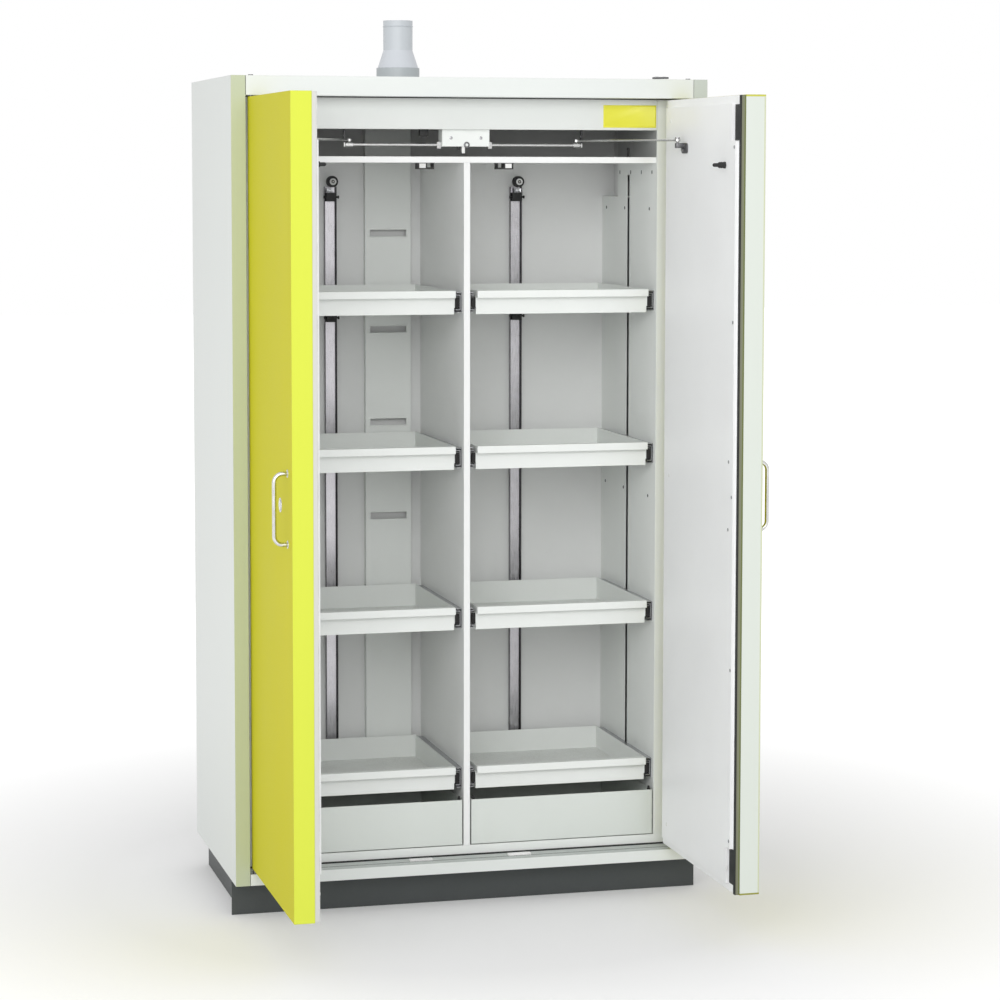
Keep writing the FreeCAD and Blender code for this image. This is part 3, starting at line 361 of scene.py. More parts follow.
def pick(piece, test, kind="FACE"):
    """In edit mode, selects the faces or edges whose middle (in mm) and direction pass a test."""
    bpy.ops.mesh.select_mode(type=kind)
    bpy.ops.mesh.select_all(action="DESELECT")
    shape = bmesh.from_edit_mesh(piece.data)
    for element in shape.faces if kind == "FACE" else shape.edges:
        if kind == "FACE":
            middle, way = element.calc_center_median(), element.normal
        else:
            first, last = (vert.co for vert in element.verts)
            middle, way = (first + last) / 2, (last - first).normalized()
        element.select_set(bool(test(middle * 1000, way)))
    bmesh.update_edit_mesh(piece.data)


def pick_side(piece, side):
    """Selects the faces that look to one side, such as X or -X."""
    axis, sign = axis_of(side)
    pick(piece, lambda at, way: sign * way[axis] > ALONG)


def inset(width, depth=0.0, each=False):
    """Insets what is selected, by millimetres, as one field or each face by itself."""
    bpy.ops.mesh.inset(thickness=width / 1000, depth=depth / 1000, use_individual=each)


def move(x, y, z):
    """Moves what is selected, by millimetres."""
    bpy.ops.transform.translate(value=(x / 1000, y / 1000, z / 1000))


def close_up(piece, rounding=0.0, wall=0.0):
    """Leaves edit mode, all faces outward. Thickens a sheet and rounds edges, by millimetres."""
    bpy.ops.mesh.select_all(action="SELECT")
    bpy.ops.mesh.remove_doubles(threshold=MERGE_WITHIN)
    bpy.ops.mesh.normals_make_consistent(inside=False)
    bpy.ops.object.mode_set(mode="OBJECT")
    if wall:
        thicken = piece.modifiers.new("Wall", "SOLIDIFY")
        thicken.thickness = wall / 1000
        thicken.offset = 0
        bpy.ops.object.modifier_apply(modifier=thicken.name)
    if rounding:
        soften = piece.modifiers.new("Rounding", "BEVEL")
        soften.width = rounding / 1000
        soften.segments = 2
        soften.limit_method = "ANGLE"
        soften.angle_limit = BEVEL_ANGLE
        bpy.ops.object.modifier_apply(modifier=soften.name)
    bpy.ops.object.shade_smooth_by_angle(angle=SMOOTH_ANGLE)
    return piece


def gather(name, finish, body, parts):
    """Joins parts into one piece with its finish and the body that it rides on."""
    bpy.ops.object.select_all(action="DESELECT")
    for part in parts:
        part.select_set(True)
    bpy.context.view_layer.objects.active = parts[0]
    if len(parts) > 1:
        bpy.ops.object.join()
    piece = bpy.context.object
    piece.name = piece.data.name = name
    piece.data.materials.clear()
    piece.data.materials.append(finish)
    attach(piece, body)
    return piece


RIM_FACE, RIM_WIDTH, RIM_SLOPE = 307.0, 24, 4
MIDDLE_STEP, MIDDLE_FROM = 0.9, 307.8
FIELD_MARGIN, FIELD_SLOPE, FIELD_DEPTH = 30, 6, 0.8
FIELD_JOINTS = (0.75, 1.38)
back_sheet = block((-564, 564), (306.6, RIM_FACE), (114, 2009))
pick_side(back_sheet, "Y")
inset(RIM_WIDTH)
inset(RIM_SLOPE)
move(0, MIDDLE_STEP, 0)
for level in FIELD_JOINTS:
    pick(back_sheet, lambda at, way: at.y > MIDDLE_FROM and way.y > ALONG)
    bpy.ops.mesh.bisect(plane_co=(0, 0, level), plane_no=(0, 0, 1))
pick(back_sheet, lambda at, way: at.y > MIDDLE_FROM and way.y > ALONG)
inset(FIELD_MARGIN, each=True)
inset(FIELD_SLOPE, depth=-FIELD_DEPTH, each=True)
close_up(back_sheet)
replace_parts(gather("back_sheet", shell_paint, "cabinet", [back_sheet]), "back_panel")

# Screws of the shell: low turned heads with a round socket, zinc plated and a little dull. They
# hold the back sheet along its rim, and the roof near its front and rear folds.
drawn, given = new_group(
    "drawn steel",
    {"Colour": ("colour", (0.6, 0.6, 0.6, 1)), "Lines": ("vector", (1.0, 1.0, 1.0)),
     "Gloss": ("value", 0.3)},
    {"Colour": "colour", "Roughness": "value", "Height": "value"},
)
at = put(drawn, "ShaderNodeTexCoord").outputs["Object"]
along = put(drawn, "ShaderNodeMapping", {"Vector": at, "Scale": given["Lines"]}).outputs[0]
scratches = noise(drawn, along, 1.0, detail=4.0, roughness=0.6)
stains = noise(drawn, at, 22.0, detail=4.0, roughness=0.6)
tone = maths(
    drawn, "MULTIPLY", spread(drawn, scratches, 0.84, 1.1), spread(drawn, stains, 0.92, 1.05),
)
rough = maths(drawn, "ADD", given["Gloss"], spread(drawn, scratches, -0.08, 0.1))
close_group(drawn, Colour=shade(drawn, given["Colour"], tone), Roughness=rough, Height=scratches)
WORN_EDGE = (0.85, 0.85, 0.84, 1)


def bare_metal(name, tint, lines, gloss, radius=0.0006):
    """Bare or plated metal. Its lines are tight across the part and long along it."""
    finish, tree, shader = new_finish(name, metallic=1.0)
    bar = use_group(tree, drawn, Colour=tint, Lines=lines, Gloss=gloss)
    fold = use_group(tree, folds, Radius=radius, Wear=0.7)
    lighter = blend_colour(tree, fold["Mask"], bar["Colour"], WORN_EDGE)
    join(tree, shader, lighter, bar["Roughness"], bar["Height"],
         depth=0.00003, strength=0.4, normal=fold["Normal"])
    return finish


INTO = {
    "X": Matrix.Rotation(math.pi / 2, 4, "Y"), "-X": Matrix.Rotation(-math.pi / 2, 4, "Y"),
    "Y": Matrix.Rotation(-math.pi / 2, 4, "X"), "-Y": Matrix.Rotation(math.pi / 2, 4, "X"),
    "Z": Matrix.Identity(4), "-Z": Matrix.Rotation(math.pi, 4, "X"),
}


def draw_out(x, y, z):
    """Extrudes what is selected, by millimetres."""
    step = (x / 1000, y / 1000, z / 1000)
    bpy.ops.mesh.extrude_region_move(TRANSFORM_OT_translate={"value": step})


def turned(profile, sides=24):
    """A turned part at the origin: a disc drawn up through pairs of radius and height in mm."""
    radius, height = profile[0]
    piece = begin("circle", vertices=sides, radius=radius / 1000, fill_type="NGON",
                  location=(0, 0, height / 1000))
    for next_radius, next_height in profile[1:]:
        draw_out(0, 0, next_height - height)
        bpy.ops.transform.resize(value=(next_radius / radius, next_radius / radius, 1))
        radius, height = next_radius, next_height
    return close_up(piece)


def lay(pattern, places, way="Z"):
    """Copies of a part made at the origin, each turned one way and put at a place in mm."""
    copies = []
    for place in places:
        copy = pattern.copy()
        copy.data = pattern.data.copy()
        copy.data.transform(Matrix.Translation(Vector(place) / 1000) @ INTO[way])
        bpy.context.scene.collection.objects.link(copy)
        copies.append(copy)
    return copies


screw_steel = bare_metal("screw_steel", colour(176, 176, 178), (90.0, 90.0, 90.0), 0.32, 0.0003)
flat_screw = turned([(4.2, 0), (4.2, 0.5), (3.4, 0.9), (1.6, 0.9), (1.5, 0.2), (0.9, 0.2)], 16)


def screw_on(name, places, way="Z"):
    """Flat screws at places on the cabinet's body, with their heads looking one way."""
    gather(name, screw_steel, "cabinet", lay(flat_screw, places, way))


REAR, ROOF = 307.05, 2056
rim = [(x, REAR, z) for x in (-552, 552) for z in (140, 450, 750, 1062, 1380, 1690, 1984)]
rim += [(x, REAR, z) for z in (126, 1997) for x in (-400, -200, 0, 200, 400)]
screw_on("back_screws", rim, "Y")
screw_on("roof_screws", [(x, y, ROOF) for x in (-560, -200, 200, 560) for y in (-270, 270)])


# Roof bracket: a low bar of dark plated steel at the right front corner of the roof. It is screwed
# down with two screws over a thin white packing wedge.
def stepped(x, y, z, side, rims, step, rounding=0.0):
    """A block with one side raised by a step inside its rims, or sunk by a step below 0."""
    piece = block(x, y, z)
    pick_side(piece, side)
    for rim in rims:
        inset(rim)
    axis, sign = axis_of(side)
    offset = [0, 0, 0]
    offset[axis] = sign * step
    move(*offset)
    return close_up(piece, rounding)


THIN_END, WEDGE_HEIGHT, WEDGE_FALL = 445, 3, 2.3
wedge = block((THIN_END, 514), (-260, -236), (ROOF, ROOF + WEDGE_HEIGHT))
pick(wedge, lambda at, way: at.x < THIN_END + 1 and at.z > ROOF + 2 and abs(way.y) > ALONG, "EDGE")
move(0, 0, -WEDGE_FALL)
wedge_paint = painted("wedge_paint", colour(240, 242, 240))
gather("roof_wedge", wedge_paint, "cabinet", [close_up(wedge, 0.3)])
bracket_steel = bare_metal("bracket_steel", colour(112, 112, 114), (300.0, 300.0, 300.0), 0.36)
bar = stepped((477, 514), (-258, -238), (2058.6, 2062.9), "Z", [1.6], 0.6, rounding=0.4)
gather("roof_bracket", bracket_steel, "cabinet", [bar])
screw_on("roof_bracket_screws", [(486, -248, 2063.4), (505, -248, 2063.4)])

# Insulation: mineral fibre boards that fill the hollow of the walls, cut to fit and clamped between
# shell and liner. They are off white, with short matted fibres that lie along the board.
mineral, tree, shader = new_finish("mineral_board")
at = put(tree, "ShaderNodeTexCoord").outputs["Object"]
at_fibres = put(tree, "ShaderNodeMapping", {"Vector": at, "Scale": (1.0, 1.0, 6.0)}).outputs[0]
fibres = noise(tree, at_fibres, 180.0, detail=6.0, roughness=0.7)
patches = noise(tree, at, 6.0, detail=3.0)
tone = maths(tree, "MULTIPLY", spread(tree, fibres, 0.86, 1.06), spread(tree, patches, 0.94, 1.04))
tint = shade(tree, colour(206, 201, 188), tone)
join(tree, shader, tint, spread(tree, fibres, 0.86, 0.98), fibres, depth=0.0008, strength=0.6)
dress(mineral, "insulation_boards")

# Inner liner: faced boards on all inner walls, fixed through the insulation to the shell. The
# face is a satin melamine film with a faint stipple. In the recess over the shelf, where little
# light comes, its colour is painted darker grey, as painted shade.
melamine, given = new_group(
    "melamine face", {"Colour": ("colour", (0.7, 0.7, 0.7, 1))},
    {"Colour": "colour", "Roughness": "value", "Height": "value"},
)
at = put(melamine, "ShaderNodeTexCoord").outputs["Object"]
stipple = {"Vector": at, "Scale": 520.0}
stipple = put(melamine, "ShaderNodeTexVoronoi", stipple).outputs["Distance"]
handled = noise(melamine, at, 5.0, detail=5.0, roughness=0.6)
tone = maths(
    melamine, "MULTIPLY", spread(melamine, handled, 0.975, 1.01),
    spread(melamine, stipple, 0.99, 1.005, from_low=0.0, from_high=0.8),
)
close_group(
    melamine, Colour=shade(melamine, given["Colour"], tone),
    Roughness=spread(melamine, handled, 0.36, 0.5), Height=stipple,
)


def faced_board(name, tint):
    """A board with a melamine face, a little worn at its edges and dusty where it lies flat."""
    finish, tree, shader = new_finish(name)
    face = use_group(tree, melamine, Colour=tint)
    fold = use_group(tree, folds, Radius=0.0015, Wear=0.4)
    lying = use_group(tree, dust, Amount=0.3)["Mask"]
    dulled = blend_colour(tree, lying, face["Colour"], DUST_GREY)
    join(tree, shader, dulled, face["Roughness"], face["Height"],
         depth=0.00008, strength=0.3, normal=fold["Normal"])
    return finish


RECESS = (1.8645, 1.99)
liner_face = faced_board("liner_face", colour(235, 236, 235))
tint_place(liner_face, (colour(196, 197, 196), ANY, ANY, RECESS))
dress(liner_face, "inner_liner")

# Frame ring: four folded steel channels round the opening, which the doors close against. They are
# screwed to the shell's front folds, and have the smooth near white paint of the fittings inside.
inner_paint = painted("inner_paint", colour(240, 243, 240), gloss=0.38, grain=1100.0, depth=0.00008)
dress(inner_paint, "frame_ring")

# Frame seals: strips of intumescent foam rubber, glued along the ring's outer edge. They are dark
# grey and matt, with open pores.
moulded, given = new_group(
    "moulded skin",
    {"Colour": ("colour", (0.03, 0.03, 0.03, 1)), "Grain": ("value", 1400.0)},
    {"Colour": "colour", "Roughness": "value", "Height": "value"},
)
at = put(moulded, "ShaderNodeTexCoord").outputs["Object"]
pores = noise(moulded, at, given["Grain"], detail=3.0, roughness=0.6)
bloom = noise(moulded, at, 14.0, detail=4.0, roughness=0.6)
tone = maths(
    moulded, "MULTIPLY", spread(moulded, pores, 0.85, 1.15), spread(moulded, bloom, 0.85, 1.2),
)
close_group(
    moulded, Colour=shade(moulded, given["Colour"], tone),
    Roughness=spread(moulded, bloom, 0.5, 0.7), Height=pores,
)


def rubber_or_plastic(name, tint, grain=1400.0, depth=0.0001, specular=0.4):
    """Moulded rubber or plastic, with a fine skin that is paler where it is rubbed."""
    finish, tree, shader = new_finish(name, specular=specular)
    skin = use_group(tree, moulded, Colour=tint, Grain=grain)
    fold = use_group(tree, folds, Radius=0.0006, Wear=0.6)
    lighter = blend_colour(tree, fold["Mask"], skin["Colour"], paler(tint, times=1.6))
    join(tree, shader, lighter, skin["Roughness"], skin["Height"],
         depth, strength=0.5, normal=fold["Normal"])
    return finish


FOAM = {"grain": 900.0, "depth": 0.0002, "specular": 0.25}
seal_rubber = rubber_or_plastic("seal_rubber", colour(40, 41, 40), **FOAM)
dress(seal_rubber, "frame_seals")

# Sill shadow strip: a thin dark strip of the same rubber, with a raised middle, laid on the sill
# along the back of its rib, as painted shade: it stands for the dark shadow line there.
shadow_strip = stepped((-556, 556), (-283.8, -279.4), (114, 114.7), "Z", [0.9], 0.4)
gather("sill_shadow_strip", seal_rubber, "cabinet", [shadow_strip])


# Air cheeks: hollow covers of painted sheet on both side walls, with an air slot from floor to
# ceiling and a baffle strip behind it. Rivets with slotted heads and flat screws hold them.
def mirrored(parts, middle=0):
    """Copies of parts on the other side of an upright plane at an X in mm, faces kept outward."""
    copies = [copy for part in parts for copy in lay(part, [(0, 0, 0)])]
    flip = Matrix.Translation((2 * middle / 1000, 0, 0)) @ Matrix.Scale(-1, 4, (1, 0, 0))
    for copy in copies:
        copy.data.transform(flip)
        copy.data.flip_normals()
    return copies


def gather_both(name, finish, parts):
    """Parts on the right of the cabinet's body and their mirrored copies, as one piece."""
    gather(name, finish, "cabinet", parts + mirrored(parts))


def drop(*patterns):
    """Takes away the patterns that the copies were made from."""
    for pattern in patterns:
        bpy.data.objects.remove(pattern)


CHEEK_FACE, BEHIND_FRONT = 492, (-0.23, 0.24)
RIVET_LEVEL, SCREW_LEVELS = 1826.5, (1734, 1003)
HEAD_STRETCH = 1.6
# In the recess over the shelf the cheeks' paint is darker grey, as painted shade.
cheek_shaded = tint_place(inner_paint.copy(), (colour(176, 178, 176), ANY, BEHIND_FRONT, RECESS))
dress(cheek_shaded, "air_cheeks")
slotted = turned([(3.4, 0), (3.4, 0.35), (2.7, 0.6), (1.8, 0.6), (1.7, 0.15)], 16)
slotted.data.transform(Matrix.Scale(HEAD_STRETCH, 4, (1, 0, 0)))
rivets_at = [(CHEEK_FACE, y, RIVET_LEVEL) for y in (79.3, -13.5, -105.8, -194.3)]
screws_at = [(CHEEK_FACE, y, z) for y in (198.4, 35.4, -174.5) for z in SCREW_LEVELS]
rivets = lay(slotted, rivets_at, "-X") + lay(flat_screw, screws_at, "-X")
baffle = stepped((503.5, 504.5), (-16, 26), (150, 1830), "-X", [4], 0.6)
gather_both("cheek_baffles", inner_paint, [baffle])
gather_both("cheek_rivets", bracket_steel, rivets)
drop(slotted)

# Partition and mechanism shelf: white melamine faced boards. The shelf lies under the closing
# mechanism from wall to wall, and the partition stands below it and makes two columns.
white_board = faced_board("white_board", colour(246, 247, 246))
dress(white_board, "partition", "mechanism_shelf")

# Fascia and mechanism box: folded sheet, hung under the head of the frame. The fascia hides the top
# of the recess, and the small box in the middle holds the release of the doors.
fascia_paint = painted(
    "fascia_paint", colour(226, 229, 226), gloss=0.4, grain=1100.0, depth=0.00008,
)
dress(fascia_paint, "fascia")
dress(inner_paint, "closer_box")

# Blank plate on the fascia: a small yellow coated sheet, fixed flat on the fascia's right end. Its
# middle is pressed a little below a plain rim.
plate_paint = painted(
    "plate_paint", colour(234, 230, 66), gloss=0.35, grain=1600.0, depth=0.00003,
)
plate = stepped((350, 488), (-238.2, -237.5), (1937, 1993), "-Y", [3.4, 0.6], -0.4, rounding=0.15)
gather("fascia_plate", plate_paint, "cabinet", [plate])

# Fittings of the mechanism: two face screws on its box, a dark cam round the box's button, a
# release lever and its white tab below, a door switch to the left, and a post on the shelf. The
# small ones are moulded plastic and clip or screw into place.
BOX_FACE = -224
black_plastic = rubber_or_plastic("black_plastic", colour(38, 38, 38))
tab_white = rubber_or_plastic("tab_white", colour(236, 236, 234), grain=1800.0, depth=0.00005)
screw_on("box_screws", [(-38, BOX_FACE, 1910), (38, BOX_FACE, 1910)], "-Y")
cam = turned([(7.6, 0), (7.6, 0.8), (6.8, 1.3), (4.4, 1.3), (4.2, 0.3)])
gather("box_cam", bracket_steel, "cabinet", lay(cam, [(2, BOX_FACE, 1893)], "-Y"))
lever = block((-23, -12), (-223, -219), (1880, 1889.2))
pick_side(lever, "-Z")
bpy.ops.transform.resize(value=(0.55, 0.8, 1))
gather("release_lever", black_plastic, "cabinet", [close_up(lever, 0.7)])
tab = block((-10, -2), (-222.6, -220.4), (1874, 1889.2))
pick_side(tab, "-Z")
draw_out(0, -1.2, -1.6)
gather("release_tab", tab_white, "cabinet", [close_up(tab, 0.5)])
switch = block((-114, -92), (-213, -198), (1915, 1931))
pick_side(switch, "-Z")
inset(3)
draw_out(0, 0, -2)
gather("door_switch", black_plastic, "cabinet", [close_up(switch, 0.8)])
post = turned([(4.6, 0), (4.6, 2), (3, 2.6), (3, 18), (3.9, 18.6), (3.9, 23), (2.6, 24)])
gather("shelf_post", black_plastic, "cabinet", lay(post, [(431, -188, 1864)]))
drop(cam, post)

# Guide rods, link rods and shoes: drawn steel bar, bright, with fine lines along its length. The
# rods hang in folded hangers, and two screws hold each hanger. Above the rods the hangers are
# painted dark grey, as painted shade in the dark recess.
HANGER_SHADE, HANGER_Z = colour(70, 70, 71), (1.8975, 1.94)
bar_steel = bare_metal("bar_steel", colour(196, 196, 195), (40.0, 900.0, 900.0), 0.26)
dress(bar_steel, "link_left", "link_right", "shoe_left", "shoe_right")
hanger_steel_shaded = tint_place(
    bar_steel.copy(), (HANGER_SHADE, (0.3005, 0.3045), ANY, HANGER_Z),
    (HANGER_SHADE, (-0.3045, -0.3005), ANY, HANGER_Z),
)
dress(hanger_steel_shaded, "link_guides")
screw_on("hanger_screws", [(x, -203, z) for x in (-304, 301) for z in (1915, 1904)], "-X")

# Rear air duct in the left column: a long cover of folded painted sheet, screwed to the rear wall.
# It has four air slots, each with its edge pressed out into a low rim.
DUCT_SLOTS = (1667, 1415.5, 1172, 924)
SLOT_HALF, SLOT_RIM = 11.5, 2.8
dress(inner_paint, "exhaust_duct")
rims = []
for level in DUCT_SLOTS:
    slot_rim = block((-150, -48), (216.1, 217.2), (level - SLOT_HALF, level + SLOT_HALF))
    pick(slot_rim, lambda at, way: abs(way.y) > ALONG)
    inset(SLOT_RIM, each=True)
    bpy.ops.mesh.bridge_edge_loops()
    rims.append(close_up(slot_rim, 0.3))
gather("duct_slot_rims", inner_paint, "cabinet", rims)

# Retraction rails and floor runners: rolled, zinc plated steel with a soft bright lustre. The rails
# are screwed to the rear wall, with a clip at each top, and their rolled lips are painted
# dark grey, as painted shade inside the lips.
zinc_steel = bare_metal("zinc_steel", colour(188, 189, 192), (700.0, 30.0, 700.0), 0.3)
rail_steel = bare_metal("rail_steel", colour(192, 190, 194), (700.0, 700.0, 30.0), 0.3)
dress(zinc_steel, "runner_rails")
LIP_SHADE, LIP_WIDTH, LIP_Z = colour(60, 60, 62), 0.0035, (0.19, 1.788)
lips = [side * at for side, at in ((1, 0.234), (1, 0.2625), (-1, 0.2375), (-1, 0.266))]
rail_lips_shaded = tint_place(
    rail_steel.copy(), *[(LIP_SHADE, (lip, lip + LIP_WIDTH), ANY, LIP_Z) for lip in lips],
)
dress(rail_lips_shaded, "retraction_rails")
clip = stepped((244, 262), (219.5, 224.9), (1773, 1784), "-Y", [2], -1.2, rounding=0.4)
clips = [clip] + lay(flat_screw, [(253, 220.7, 1778.5)], "-Y")
gather_both("rail_clips", zinc_steel, clips)

# Carriers in the rails, and the pulleys above them: black moulded plastic. Each carrier has a pin
# with two collars, and each pulley turns on a white hub ring with a dark well round its middle.
PULLEY_HUB = [(250, 191, 1801)]
dress(black_plastic, "rail_carriers", "pulley_left", "pulley_right")
pin = turned([(4, 0), (4, 3), (2.3, 3.4), (2.3, 36.6), (4, 37), (4, 40)], 18)
pins = lay(pin, [(230, 216, level) for level in (1761, 1447, 1059.5, 655.5)], "X")
gather_both("carrier_pins", black_plastic, pins)
hub_ring = turned([(8.6, -3), (8.6, 1.3), (7.6, 1.9), (4.6, 1.9), (4.4, 0.6)])
hub_dot = turned([(2.0, 0.5), (2.0, 1.8), (1.3, 2.2)], 14)
hub_well = turned([(4.35, 0), (4.35, 0.8), (2.4, 1.0)], 18)
hub = lay(hub_ring, PULLEY_HUB, "-Y") + lay(hub_dot, PULLEY_HUB, "-Y")
gather_both("pulley_hubs", tab_white, hub)
gather_both("pulley_hub_wells", black_plastic, lay(hub_well, PULLEY_HUB, "-Y"))
drop(pin, hub_ring, hub_dot, hub_well)

# Trays: steel pans with a forward lip, folded, welded at the corners and painted near white. Each
# one hangs between two slides, whose middle members are zinc plated.
TRAY_NUMBERS = (1, 2, 3, 4)
for side in ("left", "right"):
    for number in TRAY_NUMBERS:
        dress(inner_paint, "tray_%s_%d" % (side, number))
        dress(zinc_steel, "tray_%s_%d_mid" % (side, number))


# Ball cages and end caps of the tray slides: two black plastic ladders in each slide, which run
# with the middle member, and a black cap on the front of the inner member. Both walls of a column
# have the same slide, turned round.
CAGE_START, POCKET, POCKETS, RUNG = -217.5, 22, 10, 1.7


def bent_strip(outline, start, step, steps):
    """A sheet: one point drawn through pairs of X and Z in mm, then drawn along Y in steps."""
    x, z = outline[0]
    piece = begin("plane", size=0.001, location=(x / 1000, start / 1000, z / 1000))
    bpy.ops.mesh.select_mode(type="VERT")
    bpy.ops.mesh.merge(type="CENTER")
    for next_x, next_z in outline[1:]:
        draw_out(next_x - x, 0, next_z - z)
        x, z = next_x, next_z
    bpy.ops.mesh.select_all(action="SELECT")
    for _ in range(steps):
        draw_out(0, step, 0)
    return piece


def cage(near, far, half, wall):
    """A ladder of ball pockets: a channel from X near to far, open there, and of half a height."""
    outline = [(far, half), (near, half), (near, -half), (far, -half)]
    piece = bent_strip(outline, CAGE_START, POCKET, POCKETS)
    pick(piece, lambda at, way: True)
    inset(RUNG, each=True)
    bpy.ops.mesh.delete(type="FACE")
    return close_up(piece, wall=wall)


def gather_each(name, finish, body, right):
    """Parts for the right side and their mirrored copies, as a piece for each side's own body."""
    pair = {"left": mirrored(right), "right": right}
    for side, parts in pair.items():
        own_name, own_body = (text.replace("SIDE", side) for text in (name, body))
        pair[side] = gather(own_name, finish, own_body, parts)
    return pair


COLUMN_MIDDLE = 250
TRAY_LEVELS = (1503.5, 1116, 712, 307.5)
outer_cage = cage(10.8, 20, 21.2, wall=1.3)
inner_cage = cage(14.4, 24, 15.4, wall=1.2)
cap = block((16.2, 26.3), (-219.6, -217.2), (-13.3, 13.3))
pick_side(cap, "-Y")
bpy.ops.mesh.subdivide(number_cuts=2)
inset(0.9, depth=-1, each=True)
close_up(cap)
for number, level in zip(TRAY_NUMBERS, TRAY_LEVELS):
    for kind, patterns, body in (
        ("cages", (outer_cage, inner_cage), "tray_SIDE_%d_mid"), ("caps", (cap,), "tray_SIDE_%d"),
    ):
        parts = [copy for pattern in patterns for copy in lay(pattern, [(0, 0, level)])]
        parts += mirrored(parts, COLUMN_MIDDLE)
        name = "slide_%s_SIDE_%d" % (kind, number)
        gather_each(name, black_plastic, body % number, parts)
drop(outer_cage, inner_cage, cap)

# Sump drawers: welded steel pans that catch what leaks, painted a shade greyer than the trays. They
# run on the floor's runners, and a black plastic stud stands at each front corner.
sump_paint = painted("sump_paint", colour(222, 227, 222), gloss=0.4, grain=1100.0, depth=0.00008)
dress(sump_paint, "sump_left", "sump_right")
stud = turned([(4.2, -1), (4.2, 2), (3.1, 2.6), (3.1, 6.6), (2.3, 8.4)], 18)
studs = lay(stud, [(18, -226, 254), (482, -226, 254)])
gather_each("sump_studs_SIDE", black_plastic, "sump_SIDE", studs)
drop(stud)

# Door catches: black moulded housings under the shelf, one for each leaf's striker. Each has a
# white insert in its face, and hangs by a dark steel flange that is screwed to the shelf.
dress(black_plastic, "door_catches")
insert = stepped((101.4, 117.7), (-222.7, -221), (1836, 1847), "-Y", [1.5], -0.4, rounding=0.3)
gather_both("catch_inserts", tab_white, [insert])
flange = stepped((78, 124), (-222.4, -196), (1847.6, 1849), "-Z", [0.8], 0, rounding=0.2)
gather_both("catch_flanges", bracket_steel, [flange])

# Run-on plates: two strips of smooth white plastic, screwed to the sill, on which the leaves run up
# as they close.
run_on_white = rubber_or_plastic("run_on_white", colour(246, 246, 245), grain=1800.0, depth=0.00005)
dress(run_on_white, "run_on_plates")

# Doors: a yellow-green coated steel pan over a board core with two white steps on its inner face.
# On the free edge the pan is paler and greener: partly a paler finish of the edge, and on the left
# leaf partly painted light, where its edge faces the front lamp. The right leaf has a white cover
# strip there, and the pan below that strip is painted dark olive, as painted shade. The edges of
# the right leaf's steps are painted olive, as painted shade with a painted yellow reflection from
# the pan. Foam seals are glued along the steps.
LEAF_FRONT = -0.849
EDGE_Y = (-0.9, LEAF_FRONT + 0.0013)
LAYER_Y = (-0.9, LEAF_FRONT + 0.0025)
COVER_X, COVER_Z = (0.5075, 0.5535), (0.1275, 2.0)
PAN_X, FOOT_Z, HEAD_Z = (0.5075, 0.5575), (0.12, 0.1315), (2.001, 2.01)
LEFT_STEP_X, FIRST_BAND_X, SECOND_BAND_X = (-0.509, -0.499), (0.498, 0.5045), (0.5045, 0.511)
door_paint = painted(
    "door_paint", colour(209, 204, 38), gloss=0.55, grain=1000.0, depth=0.0001, specular=0.12,
)
door_white = faced_board("door_white", colour(250, 251, 251))
left_skin = tint_place(door_paint.copy(), (colour(214, 224, 78), ANY, EDGE_Y, ANY))
right_skin = tint_place(
    door_paint.copy(), (colour(206, 212, 180), ANY, EDGE_Y, ANY),
    (colour(219, 225, 217), COVER_X, EDGE_Y, COVER_Z),
    (colour(150, 150, 70), PAN_X, EDGE_Y, FOOT_Z), (colour(200, 200, 84), PAN_X, EDGE_Y, HEAD_Z),
)
left_core = tint_place(door_white.copy(), (colour(205, 205, 200), LEFT_STEP_X, LAYER_Y, ANY))
right_core_shaded = tint_place(
    door_white.copy(), (colour(118, 120, 98), FIRST_BAND_X, LAYER_Y, ANY),
    (colour(104, 112, 64), SECOND_BAND_X, LAYER_Y, ANY),
)
pale_seal = rubber_or_plastic("pale_seal", colour(205, 205, 202), **FOAM)
for side, skin, core, seal in (
    ("left", left_skin, left_core, pale_seal), ("right", right_skin, right_core_shaded, seal_rubber),
):
    dress(skin, "door_%s_skin" % side)
    dress(core, "door_%s_core" % side)
    dress(seal, "door_%s_seals" % side)

# Handles, lock and hinges: bent handles of brushed steel, screwed through the pans, a chromed lock
# barrel in the left leaf, and dark steel hinge pins that the leaves hang on.
handle_steel = bare_metal("handle_steel", colour(206, 206, 204), (600.0, 600.0, 40.0), 0.22)
lock_chrome = bare_metal("lock_chrome", colour(206, 206, 208), (60.0, 60.0, 60.0), 0.12)
dress(handle_steel, "door_left_handle", "door_right_handle")
dress(lock_chrome, "lock_barrel")
dress(bracket_steel, "hinge_pins")


# Door fittings: screws and white caps on the inner face, a bracket with an arm, bolt and knuckle
# for the link rod, a striker with a ribbed sleeve, washers under the handle, and a rosette round
# the lock. The bracket and the striker take the place of the plain CAD hardware.
def bead(major, minor, place, way="Z", flatten=0.7):
    """A round bead or washer: a ring that is flattened along its axis, in millimetres."""
    piece = begin("torus", major_radius=major / 1000, minor_radius=minor / 1000,
                  major_segments=40, minor_segments=12)
    bpy.ops.transform.resize(value=(1, 1, flatten))
    close_up(piece)
    piece.data.transform(Matrix.Translation(Vector(place) / 1000) @ INTO[way])
    return piece


